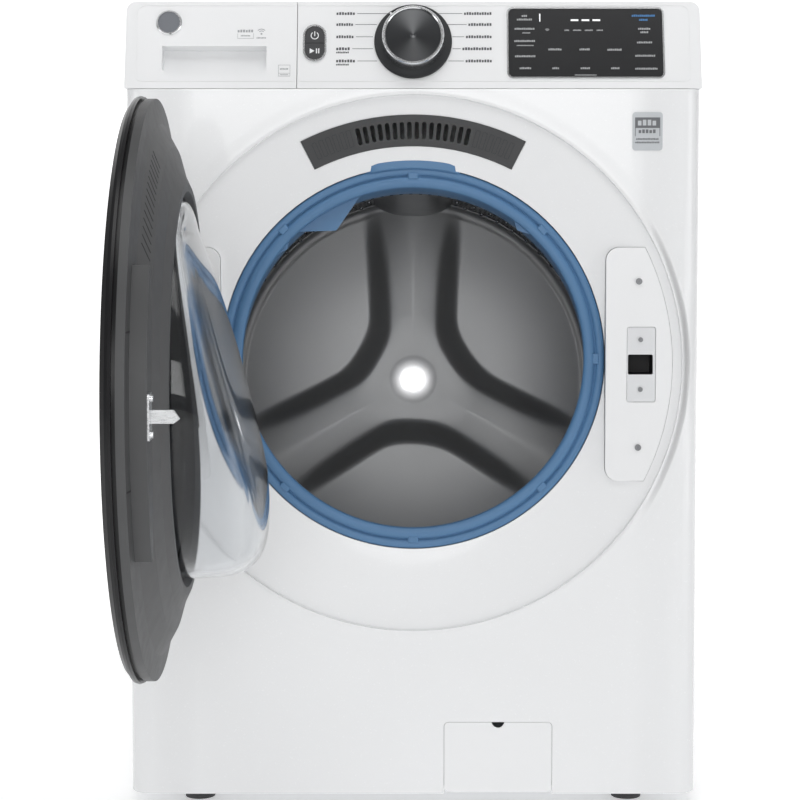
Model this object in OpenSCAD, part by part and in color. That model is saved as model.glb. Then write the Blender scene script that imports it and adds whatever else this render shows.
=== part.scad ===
/* [Cabinet] */
// Width over the side walls
cab_w = 711; // [660:1:760]
// Height of the top cover above the floor
cab_h = 1007; // [980:1:1080]
// Depth from the front panel to the rear panel
cab_d = 750; // [730:1:900]
// Gap between the floor and the cabinet
foot_gap = 16; // [12:1:30]
// Thickness of the cabinet sheet
sheet_t = 1.2; // [0.8:0.1:2]
// Thickness of the front panel
front_t = 2.5; // [2:0.1:4]
// Corner radius of the front panel's vertical edges
edge_r = 26; // [10:1:34]
// Radius of the top corners seen from the front
top_r = 12; // [6:1:20]

/* [Console] */
// Height of the console band
console_h = 109; // [109:1:130]
// Backward tilt of the console face
console_tilt = 16; // [5:1:20]
// Wall of the console mouldings
console_t = 3; // [2:0.5:4]
// Width of the drawer front
drawer_w = 212; // [205:1:225]
// Radius of the knob's dark skirt
skirt_r = 48; // [42:1:50]
// Outer radius of the knob's bright ring
knob_r = 39; // [30:1:40]
// Height of the knob above the console face
knob_h = 27; // [20:1:35]
// Display window width
display_w = 190; // [150:1:196]
// Display window height
display_h = 88; // [60:1:88]
// Width of the push button bezel
pill_w = 29; // [24:1:34]
// Height of the push button bezel
pill_h = 48; // [42:1:56]
// Travel of a push button
button_travel = 1.2; // [0.8:0.1:2]

/* [Door] */
// Height of the door's centre above the floor
ring_z = 557; // [550:1:565]
// Radius of the dished seat in the front panel
seat_r = 334; // [330:1:338]
// Radius of the door bezel
door_r = 316; // [300:1:318]
// Thickness from the door's back face to its outer cover
door_t = 44; // [40:1:50]
// Angle that the door stands open at rest
door_open = 89; // [0:1:110]
// Distance of the hinge axis left of the centre
hinge_x = 288; // [286:1:292]
// Distance of the hinge axis in front of the panel
hinge_n = 29; // [28:1:30]
// Radius of the glass bowl's mouth
bowl_r = 204; // [190:1:204]
// Depth of the glass bowl at its bottom
bowl_deep = 100; // [80:1:110]
// Wall of the glass bowl
glass_t = 5; // [4:0.5:7]

/* [Gasket and drum] */
// Height of the gasket's centre above the floor
gasket_z = 563; // [558:1:568]
// Inner radius of the gasket's front lip
gasket_r = 213; // [211:1:216]
// Outer radius of the gasket's front lip
gasket_or = 239; // [232:1:240]
// Depth of the dish where it meets the gasket
dish_n = 20; // [16:1:26]
// Backward tilt of the drum axis
drum_tilt = 8; // [4:1:8]
// Inner radius of the drum
drum_r = 268; // [250:1:270]
// Distance from the gasket plane to the drum's back
drum_back_w = 535; // [480:1:540]
// Distance from the gasket plane to the drum's mouth
drum_mouth_w = 122; // [120:1:130]
// Gap between drum and tub
tub_gap = 12; // [10:1:16]
// Wall of the tub
tub_t = 4; // [3:0.5:6]

/* [Drive] */
// Radius of the belt groove on the drum pulley
pulley_r = 138; // [120:1:145]
// Radius of the motor pulley
pinion_r = 11.5; // [10:0.5:13]
// Distance between the drum axis and the motor axis
motor_drop = 372; // [370:1:380]
// Radius of the drum shaft
shaft_r = 15; // [12:1:20]

/* [Service] */
// Left edge of the service flap
flap_x0 = 39; // [30:1:60]
// Width of the service flap
flap_w = 135; // [110:1:150]
// Height of the service flap
flap_h = 91; // [80:1:100]
// Outer radius of the hose spigots
spigot_r = 13.2; // [12:0.1:14]

/* [Hidden] */
$fn = 96;
gap = 0.5;
running = 0.06;
loose = 0.3;
console_d = 56;
front_y = -cab_d / 2;
rear_y = cab_d / 2;
half_w = cab_w / 2;
console_z = cab_h - console_h;
face_h = console_h / cos(console_tilt);
hinge_y = front_y - hinge_n;
tub_r = drum_r + 1 + tub_gap;
tub_or = tub_r + tub_t;
tub_front_w = drum_mouth_w - 7;
tub_back_w = drum_back_w + 46;
tub_join_w = 300;
wrap_y = front_y + 40;
drawer_x0 = -half_w;
drawer_x1 = drawer_x0 + drawer_w;
screw_r = 4;

// ---- frames ----
module at_seat() translate([0, front_y, ring_z]) children();
module at_gasket() translate([0, front_y, gasket_z]) children();
module at_console() translate([0, front_y, console_z]) rotate([-console_tilt, 0, 0]) children();
module at_tub() translate([0, front_y + dish_n, gasket_z]) rotate([-drum_tilt, 0, 0]) children();
module at_door()
    translate([-hinge_x, hinge_y, 0]) rotate([0, 0, -door_open]) translate([hinge_x, -hinge_y, 0])
        at_seat() children();

// ---- shared shapes ----
// Profile points are (radius, distance in front of the panel)
module lathe_front(points, angle = 360, start = 0)
    rotate([90, 0, 0]) rotate([0, 0, start]) rotate_extrude(angle = angle, $fn = 160) polygon(points);
// Profile points are (radius, distance behind the gasket plane)
module lathe_back(points) rotate([-90, 0, 0]) rotate_extrude($fn = 160) polygon(points);
// A front-view outline made solid between two distances in front of the panel
module slab(n0, n1) rotate([90, 0, 0]) translate([0, 0, n0]) linear_extrude(n1 - n0) children();
// The same between two distances behind
module block(w0, w1) slab(-w1, -w0) children();
module rounded(w, h, r) {
    square([w - 2 * r, h], center = true);
    square([w, h - 2 * r], center = true);
    for (x = [-1, 1], y = [-1, 1]) translate([x * (w / 2 - r), y * (h / 2 - r)]) circle(r);
}
module stadium(w, h) {
    square([w, h - w], center = true);
    for (y = [-1, 1]) translate([0, y * (h - w) / 2]) circle(w / 2);
}
module box_to(x0, x1, y0, y1, z0, z1) translate([x0, y0, z0]) cube([x1 - x0, y1 - y0, z1 - z0]);
module ring_back(ro, ri, w0, w1) block(w0, w1) difference() { circle(ro, $fn = 160); circle(ri, $fn = 160); }
module screw_head(r, n0, h) {
    slab(n0, n0 + h) difference() { circle(r); circle(r * 0.45, $fn = 6); }
    slab(n0 - 8, n0) circle(r * 0.45);
}

// ---- cabinet ----
wrap_top = cab_h - top_r - 8;
module cabinet_wrap() color("white") {
    for (s = [-1, 1]) {
        x0 = s > 0 ? half_w - sheet_t : -half_w;
        box_to(x0, x0 + sheet_t, wrap_y, rear_y, foot_gap, console_z - gap);
        box_to(x0, x0 + sheet_t, front_y + console_d + gap, rear_y, foot_gap, wrap_top);
        fx0 = s > 0 ? half_w - 30 : -half_w + sheet_t;
        box_to(fx0, fx0 + 30 - sheet_t, rear_y - sheet_t, rear_y, foot_gap, wrap_top);
        spring_hanger(s);
    }
}
module lid_outline(inset) {
    w = cab_w - 2 * inset;
    difference() {
        translate([0, cab_h - inset - 100]) rounded(w, 200, top_r);
        translate([-cab_w, wrap_top - 1100 + gap]) square([2 * cab_w, 1100]);
    }
}
module top_cover() color("white") {
    lid_y0 = front_y + console_h * tan(console_tilt) + 26;
    translate([0, rear_y, 0]) slab(0, rear_y - lid_y0) difference() {
        lid_outline(0);
        translate([0, -sheet_t]) lid_hollow();
    }
    translate([0, rear_y, 0]) slab(0, sheet_t) lid_outline(0.6);
}
module lid_hollow() difference() {
    translate([0, cab_h - 100]) rounded(cab_w - 2 * sheet_t, 200, top_r - 1);
    translate([-cab_w, wrap_top - 1100]) square([2 * cab_w, 1100]);
}
// Plan outline of the front panel, cut off at a depth behind its face
module panel_plan(inset, depth) intersection() {
    translate([0, front_y + inset + console_d]) rounded(cab_w - 2 * inset, 2 * console_d, edge_r - inset);
    translate([-cab_w, front_y]) square([2 * cab_w, depth]);
}
panel_top = console_z - gap;
seat_step = 4;
module front_panel() color("white") {
    difference() {
        translate([0, 0, foot_gap]) linear_extrude(panel_top - foot_gap) difference() {
            panel_plan(0, wrap_y - gap - front_y);
            panel_plan(front_t, wrap_y - front_y + 1);
        }
        at_seat() slab(-2 * front_t, 1) circle(seat_r, $fn = 160);
        at_seat() flap_cut(1, 2 * front_t);
    }
    at_seat() difference() {
        lathe_front([
            [seat_r + 1, -0.1], [seat_r - 1, -seat_step], [gasket_or - 12, -dish_n],
            [gasket_or - 12, -dish_n - front_t], [seat_r - 1, -seat_step - front_t], [seat_r + 1, -front_t]
        ]);
        vent_band(gap, 1, -30);
        for (a = [0, 180]) rotate([0, a, 0]) slab(-40, 1) crescent(gap);
        translate([0, 0, gasket_z - ring_z]) slab(-40, 1) circle(gasket_or + gap, $fn = 160);
    }
    for (x = [flap_x0 - 6, flap_x0 + flap_w + 1]) difference() {
        box_to(x, x + 5, front_y + front_t - 0.5, front_y + 14, foot_gap, foot_gap + 14);
        translate([x - 1, flap_axis_y, flap_axis_z]) rotate([0, 90, 0]) cylinder(r = 2 + loose, h = 8);
    }
}
module flap_cut(n1, deep)
    translate([flap_x0 + flap_w / 2, 0, foot_gap + flap_h / 2 - 5 - ring_z])
        slab(-deep, n1) rounded(flap_w + 1, flap_h + 10 + 1, 6);
module base_pan() color("silver") {
    difference() {
        box_to(-half_w + 4, half_w - 4, front_y + edge_r + 2, rear_y - 4, foot_gap, foot_gap + 30);
        box_to(-half_w + 6, half_w - 6, front_y + edge_r + 4, rear_y - 6, foot_gap + 2, foot_gap + 31);
        foot_places() translate([0, 0, foot_gap - 1]) cylinder(r = 5 + loose, h = 5);
        box_to(flap_x0 - 10, flap_x0 + flap_w + 10, front_y, front_y + edge_r + 5, foot_gap + 2, foot_gap + 40);
    }
}
foot_x = half_w - 83;
foot_in = 50;
module foot_places()
    for (x = [-foot_x, foot_x], y = [front_y + foot_in, rear_y - foot_in]) translate([x, y, 0]) children();
module feet() color("dimgray") foot_places() {
    cylinder(r = 19, h = 8);
    translate([0, 0, 8]) cylinder(r = 11, h = foot_gap - 8 - 0.2);
    translate([0, 0, foot_gap - 0.2]) cylinder(r = 5, h = 22);
}
access_w = 340;
access_h = 420;
access_z = 470;
transit_x = 240;
transit_z = 330;
transit_mid = 640;
transit_hole_r = 7;
port_x = 250;
port_z = 930;
module rear_panel() color("lightgray") translate([0, rear_y - sheet_t - gap, 0]) difference() {
    slab(0, sheet_t) translate([0, (wrap_top + foot_gap + 31) / 2])
        square([cab_w - 2 * sheet_t - 2, wrap_top - foot_gap - 33], center = true);
    slab(-1, 3) translate([0, access_z]) rounded(access_w, access_h, 20);
    for (x = [-1, 1], z = [-1, 1])
        slab(-1, 3) translate([x * transit_x, transit_mid + z * transit_z / 2]) circle(transit_hole_r);
    for (x = [port_x, port_x + 55]) slab(-1, 3) translate([x, port_z]) circle(spigot_r + 1);
    slab(-1, 3) translate([-port_x, port_z]) circle(spigot_r + 1);
    slab(-1, 3) translate([-port_x + 70, port_z]) circle(11);
}
module rear_access_cover() color("gainsboro") translate([0, rear_y - gap, 0]) {
    slab(-2, 0) difference() {
        translate([0, access_z]) rounded(access_w + 30, access_h + 30, 20);
        translate([0, access_z]) rounded(access_w - 60, access_h - 60, 20);
    }
    slab(-5, -2) difference() {
        translate([0, access_z]) rounded(access_w - 50, access_h - 50, 24);
        translate([0, access_z]) rounded(access_w - 70, access_h - 70, 18);
    }
    slab(-7, -5) translate([0, access_z]) rounded(access_w - 50, access_h - 50, 24);
}

// ---- console ----
knob_u = 60.3;
pill_x = -121.5;
pill_u = 58.3;
display_x = 213;
display_u = 58.8;
module console_body(x0, x1) difference() {
    intersection() {
        box_to(x0, x1, front_y - 1, front_y + console_d, console_z, cab_h + 1);
        translate([0, rear_y, 0]) slab(0, cab_d + 1) translate([0, cab_h - 150]) rounded(cab_w, 300, top_r);
        at_console() box_to(-cab_w, cab_w, 0, 200, -60, 200);
    }
    difference() {
        box_to(x0 + console_t, x1 - console_t, front_y - 2, front_y + 61, console_z + console_t,
               cab_h - console_t);
        at_console() box_to(-cab_w, cab_w, -50, console_t, -100, 300);
    }
}
module console_fascia() color("white") difference() {
    union() {
        console_body(drawer_x1 + 0.8, half_w);
        at_console() slab(-1, 0.8) difference() {
            border_outline(drawer_x1 + 2, half_w - 12, 0);
            border_outline(drawer_x1 - 20, half_w - 12, 2);
        }
    }
    at_console() {
        slab(-5, 2) translate([display_x, display_u]) rounded(display_w + 0.4, display_h + 0.4, 5.6);
        slab(-5, 2) translate([pill_x, pill_u]) stadium(pill_w - 4.4, pill_h - 4.4);
        slab(-5, 2) translate([0, knob_u]) circle(4.3);
    }
}
module border_outline(x0, x1, inset) {
    r = 10;
    translate([x0, 9 + inset]) square([x1 - inset - r - x0, face_h - 13 - 2 * inset]);
    translate([x0, 9 + inset + r]) square([x1 - inset - x0, face_h - 13 - 2 * inset - 2 * r]);
    for (u = [9 + inset + r, face_h - 4 - inset - r]) translate([x1 - inset - r, u]) circle(r);
}
module display_frame() color("silver") at_console() slab(0.02, 1.8) translate([display_x, display_u])
    difference() {
        rounded(display_w + 4.4, display_h + 4.4, 7.5);
        rounded(display_w + 0.6, display_h + 0.6, 5.6);
    }
module display_glass() color("#15171b") at_console()
    slab(-console_t, 1) translate([display_x, display_u]) rounded(display_w, display_h, 5.5);
module button_bezel() color("silver") at_console() slab(0.02, 2.4) translate([pill_x, pill_u])
    difference() {
        stadium(pill_w, pill_h);
        stadium(pill_w - 4.4, pill_h - 4.4);
    }
module half_button(s) at_console() slab(-6, 1.8) translate([pill_x, pill_u]) intersection() {
    stadium(pill_w - 5.2, pill_h - 5.2);
    translate([-pill_w, s > 0 ? 0.3 : -pill_h - 0.3]) square([2 * pill_w, pill_h]);
}
module power_button() color("#3a3c40") half_button(1);
module start_button() color("#3a3c40") half_button(-1);
module knob_skirt() color("#4a4c50") at_console() translate([0, 0, knob_u]) {
    lathe_front([[0, 1.1], [skirt_r, 1.1], [skirt_r, 2.6], [skirt_r - 1.5, 4], [knob_r - 5, 4.6], [0, 4.6]]);
    slab(-20, 1.2) circle(4);
}
module knob_ring() color("silver") at_console() translate([0, 0, knob_u]) lathe_front([
    [knob_r - 5, 4.7], [knob_r, 4.7], [knob_r - 1, knob_h - 2], [knob_r - 2, knob_h],
    [knob_r - 4, knob_h], [knob_r - 5, knob_h - 1]
]);
module knob_cap() color("#3c3e42") at_console() translate([0, 0, knob_u])
    lathe_front([[0, 4.7], [knob_r - 5.1, 4.7], [knob_r - 5.1, knob_h - 2.5], [0, knob_h - 1.2]]);
module control_board() color("darkgreen") at_console()
    slab(-26, -22) translate([half_w - 205, 56]) square([370, 84], center = true);
drawer_in = 20;
tray_x0 = drawer_x0 + 20;
tray_x1 = drawer_x1 - 20;
tray_z0 = console_z + 10;
tray_len = 270;
pocket_u0 = 16.6;
pocket_u1 = 55;
pocket_x = drawer_x0 + 110;
pocket_w = 129;
module pocket_outline(inset) translate([pocket_x, (pocket_u0 + pocket_u1) / 2]) {
    w = pocket_w - 2 * inset;
    h = pocket_u1 - pocket_u0 - 2 * inset;
    r = 13 - inset;
    translate([-w / 2, -h / 2 + r]) square([w, h - r]);
    translate([-w / 2 + r, -h / 2]) square([w - 2 * r, h]);
    for (s = [-1, 1]) translate([s * (w / 2 - r), -h / 2 + r]) circle(r);
}
module drawer_front() color("white") {
    difference() {
        union() {
            drawer_shell();
            at_console() slab(-1, 0.8) mirror([1, 0]) difference() {
                border_outline(-drawer_x1 + 2, half_w - 12, 0);
                border_outline(-drawer_x1 - 20, half_w - 12, 2);
            }
        }
        at_console() slab(-5, 2) pocket_outline(0);
    }
    at_console() difference() {
        slab(-drawer_in, -console_t) pocket_outline(-1.6);
        slab(-drawer_in + 1.6, 3) pocket_outline(0);
    }
}
module drawer_shell() difference() {
    console_body(drawer_x0, drawer_x1);
    box_to(drawer_x0 + console_t, drawer_x1 - console_t, front_y + 42, front_y + 60, console_z - 1, cab_h - 20);
}
module badge_ring() color("silver") at_console() translate([-302, 0, 85.3])
    lathe_front([[13.6, 0.02], [16, 0.02], [16, 1.6], [15, 2.6], [13.6, 2.6]]);
module badge_disc() color("#4c5056") at_console() translate([-302, 0, 85.3]) slab(0.02, 1.6) circle(13.5);
tray_y0 = front_y + 46;
module drawer_tray() color("whitesmoke") difference() {
    union() {
        box_to(tray_x0, tray_x1, tray_y0, tray_y0 + tray_len, tray_z0, tray_z0 + 52);
        for (x = [tray_x0 + 6, tray_x1 - 14])
            box_to(x, x + 8, front_y + 42, tray_y0, tray_z0, tray_z0 + 20);
    }
    inner = tray_x1 - tray_x0 - 4;
    bay = (inner - 4) / 3;
    for (k = [0:2]) {
        x = tray_x0 + 2 + k * (bay + 2);
        box_to(x, x + bay, tray_y0 + 2, tray_y0 + tray_len - 2, tray_z0 + 2, tray_z0 + 60);
    }
}
module siphon_insert() color("steelblue") {
    bay = (tray_x1 - tray_x0 - 8) / 3;
    box_to(tray_x0 + 2.5, tray_x0 + 1.5 + bay, tray_y0 + 150, tray_y0 + 210, tray_z0 + 40, tray_z0 + 43);
    translate([tray_x0 + 2 + bay / 2, tray_y0 + 180, tray_z0 + 6]) difference() {
        cylinder(r = 9, h = 35);
        translate([0, 0, -1]) cylinder(r = 7.5, h = 30);
    }
}
house_x0 = tray_x0 - 6;
house_x1 = tray_x1 + 6;
module dispenser_housing() color("whitesmoke") {
    difference() {
        box_to(house_x0, house_x1, front_y + 64, front_y + 64 + 290, console_z + 2, cab_h - 22);
        box_to(house_x0 + 2.5, house_x1 - 2.5, front_y + 60, front_y + 64 + 287, console_z + 5, cab_h - 25);
        translate([fill_x, fill_y, console_z - 1]) cylinder(r = 20, h = 12);
    }
    translate([fill_x, fill_y, console_z - 20]) difference() {
        cylinder(r = 23, h = 22);
        translate([0, 0, -1]) cylinder(r = 20, h = 30);
    }
}
fill_x = -230;
fill_y = front_y + 200;

// ---- front panel fittings ----
plate_n = -5;
plate_x = gasket_or + 0.4;
plate_h = 291;
// Crescent between the gasket and the seat's rim
module crescent(grow) intersection() {
    circle(seat_r - 12 + grow, $fn = 160);
    translate([plate_x - grow + 60, 0]) rounded(120, plate_h + 2 * grow, 16 + grow);
}
module plaque() color("silver") translate([288.5, front_y, 845.5]) slab(0.02, 0.9) rounded(37, 47, 4);
vent_ro = 309;
vent_ri = 271;
vent_half = 26.7;
module vent_band(grow, n1, n0)
    lathe_front([[vent_ri - grow, n0], [vent_ro + grow, n0], [vent_ro + grow, n1], [vent_ri - grow, n1]],
                2 * (vent_half + grow / 5), 90 - vent_half - grow / 5);
slot_pitch = 1.78;
module vent_grille() color("#4a4c50") at_seat() difference() {
    lathe_front([[vent_ri, -dish_n - 2], [vent_ro, -dish_n + 4], [vent_ro, -6.6], [vent_ri, -12.6]],
                2 * vent_half, 90 - vent_half);
    lathe_front([[vent_ri + 3, -dish_n - 5], [vent_ro - 3, -dish_n], [vent_ro - 3, -10], [vent_ri + 3, -15]],
                2 * vent_half - 1.4, 90 - vent_half + 0.7);
    for (k = [0:15]) rotate([0, (k - 7.5) * slot_pitch, 0]) translate([0, 0, 290]) slab(-30, 2) stadium(5.4, 21);
}
module latch_plate() color("white") at_seat() difference() {
    slab(-16, plate_n) crescent(0);
    slab(-20, plate_n - 2.5) crescent(-2);
    slab(-30, 3) translate([283.5, 0]) rounded(36, 94, 3);
    for (z = [-103.5, 103.5]) translate([280, 0, z]) slab(-20, 3) circle(screw_r * 0.5);
}
module lock_plate() color("#e4e4e6") at_seat() difference() {
    slab(plate_n - 4, plate_n - 0.6) translate([283.5, 0]) rounded(35, 93, 2.5);
    slab(-30, 3) translate([282.5, 0]) rounded(31, 25, 2);
    for (z = [-31, 31]) translate([282.5, 0, z]) slab(-20, 3) circle(screw_r * 0.35);
}
module door_lock() color("#1c1d1f") at_seat() difference() {
    slab(-52, plate_n - 4.1) translate([283.5, 0]) rounded(34.5, 92, 3);
    slab(-44, 3) translate([282.5, 0]) rounded(31, 25, 2);
    slab(-24, -16) translate([290, 24]) square([10, 28], center = true);
    for (z = [-31, 31]) translate([282.5, 0, z]) slab(-16, 3) circle(screw_r * 0.35);
}
module lock_bolt() color("silver") at_seat() slab(-23.5, -16.5) translate([290, 25]) square([8, 20], center = true);
module hinge_cover() color("white") at_seat() rotate([0, 180, 0]) difference() {
    slab(-16, plate_n) crescent(0);
    slab(-20, plate_n - 2.5) crescent(-2);
    slab(-30, 3) translate([neck_x - 2, 0]) rounded(16, 2 * ear_z + 20, 4);
}
bracket_h = 206;
bracket_w = 46;
ear_r = 6;
pin_r = 3.5;
ear_z = 68;
neck_x = hinge_x - 25;
module hinge_bracket() color("#3b3d40") at_seat() {
    slab(-20, -14) translate([-neck_x - 12, 0]) square([bracket_w, bracket_h], center = true);
    for (z = [-ear_z, ear_z]) difference() {
        union() {
            translate([-hinge_x, -hinge_n, z - 5]) cylinder(r = ear_r, h = 10);
            box_to(-hinge_x, -neck_x, -hinge_n - 5, -hinge_n + 5, z - 5, z + 5);
            box_to(-neck_x - 2, -neck_x + 6, -hinge_n - 5, 14, z - 5, z + 5);
        }
        translate([-hinge_x, -hinge_n, z - 6]) cylinder(r = pin_r + running, h = 12);
    }
}
module plate_screws() color("gray") at_seat() {
    for (z = [-103.5, 103.5]) translate([280, 0, z]) screw_head(screw_r, plate_n + 0.05, 1.8);
    for (z = [-31, 31]) translate([282.5, 0, z]) screw_head(screw_r * 0.75, plate_n - 0.55, 1.4);
}

// ---- door, drawn closed and swung open by at_door ----
rim_back_n = 21;
body_n = 2;
land_r = 298;
cover_n = door_t + body_n - 2;
module door_cover() color("#141416") at_door() lathe_front([
    [0, cover_n + 15], [door_r * 0.4, cover_n + 13], [door_r * 0.7, cover_n + 8],
    [door_r - 16, cover_n - 4], [door_r - 12, cover_n - 8], [door_r - 6, cover_n - 8],
    [door_r - 3, cover_n - 4], [door_r - 8, cover_n + 1], [door_r * 0.7, cover_n + 12],
    [door_r * 0.4, cover_n + 17], [0, cover_n + 19]
]);
module door_bezel() color("#202124") at_door() lathe_front([
    [door_r - 9, cover_n - 14], [door_r - 6, cover_n - 14], [door_r - 6, cover_n - 10],
    [door_r - 1, cover_n - 10], [door_r, cover_n - 7], [door_r - 1, cover_n - 4],
    [door_r - 2.9, cover_n - 4.2], [door_r - 5.9, cover_n - 8.1], [door_r - 9, cover_n - 8.1]
]);
module door_ring() color("#55575a") at_door() difference() {
    union() {
        lathe_front([
            [bowl_r + 5, -4], [bowl_r + 10, -11], [bowl_r + 18, -11], [237, -4], [262, 3], [286, 16],
            [300, rim_back_n - 2], [door_r - 3, rim_back_n], [door_r - 3, cover_n - 14.1],
            [door_r - 7, cover_n - 14.1], [door_r - 7, rim_back_n + 4], [290, rim_back_n], [284, 19],
            [262, 7], [237, -0.2], [bowl_r + 17, -7], [bowl_r + 11, -7], [bowl_r + 9, -3],
            [bowl_r + 9, cover_n - 14.1], [bowl_r + 5, cover_n - 14.1]
        ]);
        difference() {
            slab(body_n, rim_back_n + 1) crescent_land(0, 0);
            slab(body_n + 3, rim_back_n + 5) crescent_land(-3, 0);
            slab(0, 60) difference() { circle(291, $fn = 160); circle(200, $fn = 160); }
        }
        for (a = [0, 180]) slab(body_n, body_n + 3) crescent_land(-1, a);
        slab(body_n, 20) crescent_wall();
    }
    hinge_notch();
}
module crescent_land(grow, a) rotate(a) intersection() {
    circle(land_r + grow, $fn = 160);
    translate([248 - grow + 60, 0]) square([120, 286 + 2 * grow], center = true);
}
module crescent_wall() for (s = [-1, 1]) translate([s * 250, 0]) square([3, 250], center = true);
bowl_lean = 17;
module door_glass() color("#c8d4e066") at_door() difference() {
    bowl_solid(0);
    bowl_solid(glass_t);
    slab(8, 60) circle(bowl_r + 60);
}
// Round mouth blended to a smaller face that leans deeper at its bottom
module bowl_solid(inset) hull() {
    slab(-inset, 12) circle(bowl_r - inset, $fn = 64);
    translate([0, 0, -6]) rotate([bowl_lean, 0, 0]) translate([0, bowl_deep * 0.62 - inset * 1.2, 0])
        slab(-1, 0) circle(150 - inset, $fn = 48);
}
notch_x = hinge_x - 44;
module hinge_notch() slab(-20, cover_n - 8.1) intersection() {
    circle(door_r - 9.5, $fn = 160);
    translate([-notch_x - 60, 0]) square([120, 2 * ear_z + 40], center = true);
}
module door_hinge_arm() color("#3b3d40") at_door() {
    translate([-hinge_x, -hinge_n, -ear_z + 5.3]) cylinder(r = ear_r, h = 2 * ear_z - 10.6);
    translate([-hinge_x, -hinge_n, -ear_z - 8]) cylinder(r = pin_r, h = 2 * ear_z + 16);
    box_to(-hinge_x, -notch_x - 0.2, -hinge_n - 4, -hinge_n + 2, -ear_z + 12, ear_z - 12);
    box_to(-notch_x - 4, -notch_x - 0.2, -hinge_n - 4, -4, -ear_z + 12, ear_z - 12);
}
module door_strike() color("silver") at_door() {
    slab(body_n - 2.1, body_n - 0.1) translate([282.5, 0]) rounded(24, 45, 2);
    for (z = [-17.5, 17.5]) translate([282.5, 0, z]) slab(body_n - 4.5, body_n - 2.1) circle(3.4);
    translate([282.5, 0, 0]) rotate([0, -90, 0]) linear_extrude(4, center = true)
        polygon([[-6.5, 0], [6.5, 0], [6.5, 22], [-2, 28], [-6.5, 22]]);
}

// ---- gasket, tub and drum ----
neck_r = gasket_or - 11;
bellows_y = 16;
module gasket() color("#567ca3") {
    at_gasket() lathe_front([
        [gasket_r, -dish_n - 30], [gasket_r, -dish_n - 1], [gasket_r + 3, -dish_n + 1],
        [gasket_or - 14, -dish_n + 1], [gasket_or - 13, -dish_n - 1.5], [gasket_or - 10, -dish_n - 1.5],
        [gasket_or - 9, -dish_n + 1], [gasket_or, -dish_n], [gasket_or, -dish_n - bellows_y - 2],
        [gasket_or - 9, -dish_n - bellows_y - 2], [gasket_or - 9, -dish_n - 4], [gasket_r + 4, -dish_n - 4],
        [gasket_r + 4, -dish_n - 30]
    ]);
    difference() {
        bellows(gasket_or - 0.5, neck_r + 7, 0);
        bellows(gasket_or - 5, neck_r + 3.2, 1);
    }
}
module bellows(r0, r1, past) hull() {
    at_gasket() slab(-dish_n - bellows_y - 2, -dish_n - bellows_y + past) circle(r0, $fn = 64);
    at_tub() block(neck_w - 2, neck_w + 14 + past) circle(r1, $fn = 64);
}
neck_w = tub_front_w - 26;
module tub_front() color("lightgray") at_tub() {
    lathe_back([
        [neck_r - 2, neck_w], [neck_r + 2, neck_w], [neck_r + 2, tub_front_w], [tub_r - 20, tub_front_w],
        [tub_or, tub_front_w + 24], [tub_or, tub_join_w - 8], [tub_or + 9, tub_join_w - 8],
        [tub_or + 9, tub_join_w - 0.1], [tub_r, tub_join_w - 0.1], [tub_r, tub_front_w + 26],
        [tub_r - 22, tub_front_w + tub_t], [neck_r - 2, tub_front_w + tub_t]
    ]);
}
module tub_rear() color("lightgray") at_tub() {
    lathe_back([
        [shaft_r + 13, tub_back_w], [tub_r - 16, tub_back_w], [tub_r, tub_back_w - 16],
        [tub_r, tub_join_w], [tub_or + 9, tub_join_w], [tub_or + 9, tub_join_w + 8],
        [tub_or, tub_join_w + 8], [tub_or, tub_back_w - 12], [tub_or - 16, tub_back_w + 6],
        [shaft_r + 22, tub_back_w + 6], [shaft_r + 18, tub_back_w + 40], [shaft_r + 13, tub_back_w + 40]
    ]);
    for (s = [-1, 1]) {
        lug_plate(s, tub_join_w + 9, tub_join_w + 29);
        translate([s * damper_x, tub_join_w + 60, 0])
            box_to(-10, 10, -10, 10, -tub_or - 12, -sqrt(tub_or * tub_or - damper_x * damper_x) + 3);
    }
    for (s = [-1, 1]) box_to(s * 60 - 8, s * 60 + 8, tub_join_w + 150, tub_back_w - 14, -motor_drop + 66, -tub_or + 8);
}
damper_x = 150;
spring_x = half_w - 30;
module lug_plate(s, w0, w1) block(w0, w1) difference() {
    translate([s * ((tub_or + spring_x) / 2 - 8), 95]) square([spring_x - tub_or + 46, 22], center = true);
    circle(tub_or - 0.5, $fn = 160);
}
module counterweights() color("darkgray") at_tub() for (s = [-1, 1]) {
    rotate([-90, 0, 0]) rotate([0, 0, s > 0 ? -145 : 35]) rotate_extrude(angle = 110, $fn = 160)
        polygon([[neck_r + 18, tub_front_w - 54], [tub_or - 4, tub_front_w - 54], [tub_or - 4, tub_front_w - 0.1],
                 [neck_r + 18, tub_front_w - 0.1]]);
}
lug_y = front_y + dish_n + (tub_join_w + 19) * cos(drum_tilt) + 95 * sin(drum_tilt);
lug_z = gasket_z - (tub_join_w + 19) * sin(drum_tilt) + 95 * cos(drum_tilt) + 11;
spring_top = cab_h - 125;
module hanging_springs() color("silver") for (s = [-1, 1]) translate([s * (spring_x - 6), lug_y, 0]) {
    coils = 12;
    coil_z0 = lug_z + 30;
    coil_z1 = spring_top - 30;
    for (k = [0:coils - 1]) translate([0, 0, coil_z0 + (coil_z1 - coil_z0) * (k + 0.5) / coils])
        rotate_extrude($fn = 32) translate([9, 0]) circle(1.8, $fn = 16);
    translate([0, 0, lug_z + 4]) cylinder(r = 7.5, h = spring_top - lug_z - 12);
}
module spring_hanger(side) {
    out = half_w - sheet_t;
    x0 = side > 0 ? spring_x - 22 : -out;
    box_to(x0, x0 + out - spring_x + 22, lug_y - 18, lug_y + 18, spring_top - 4, spring_top + 6);
}
damper_y = front_y + dish_n + (tub_join_w + 60) * cos(drum_tilt) - (tub_or + 2) * sin(drum_tilt);
damper_top = gasket_z - (tub_join_w + 60) * sin(drum_tilt) - (tub_or + 12) * cos(drum_tilt) - 4;
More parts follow.
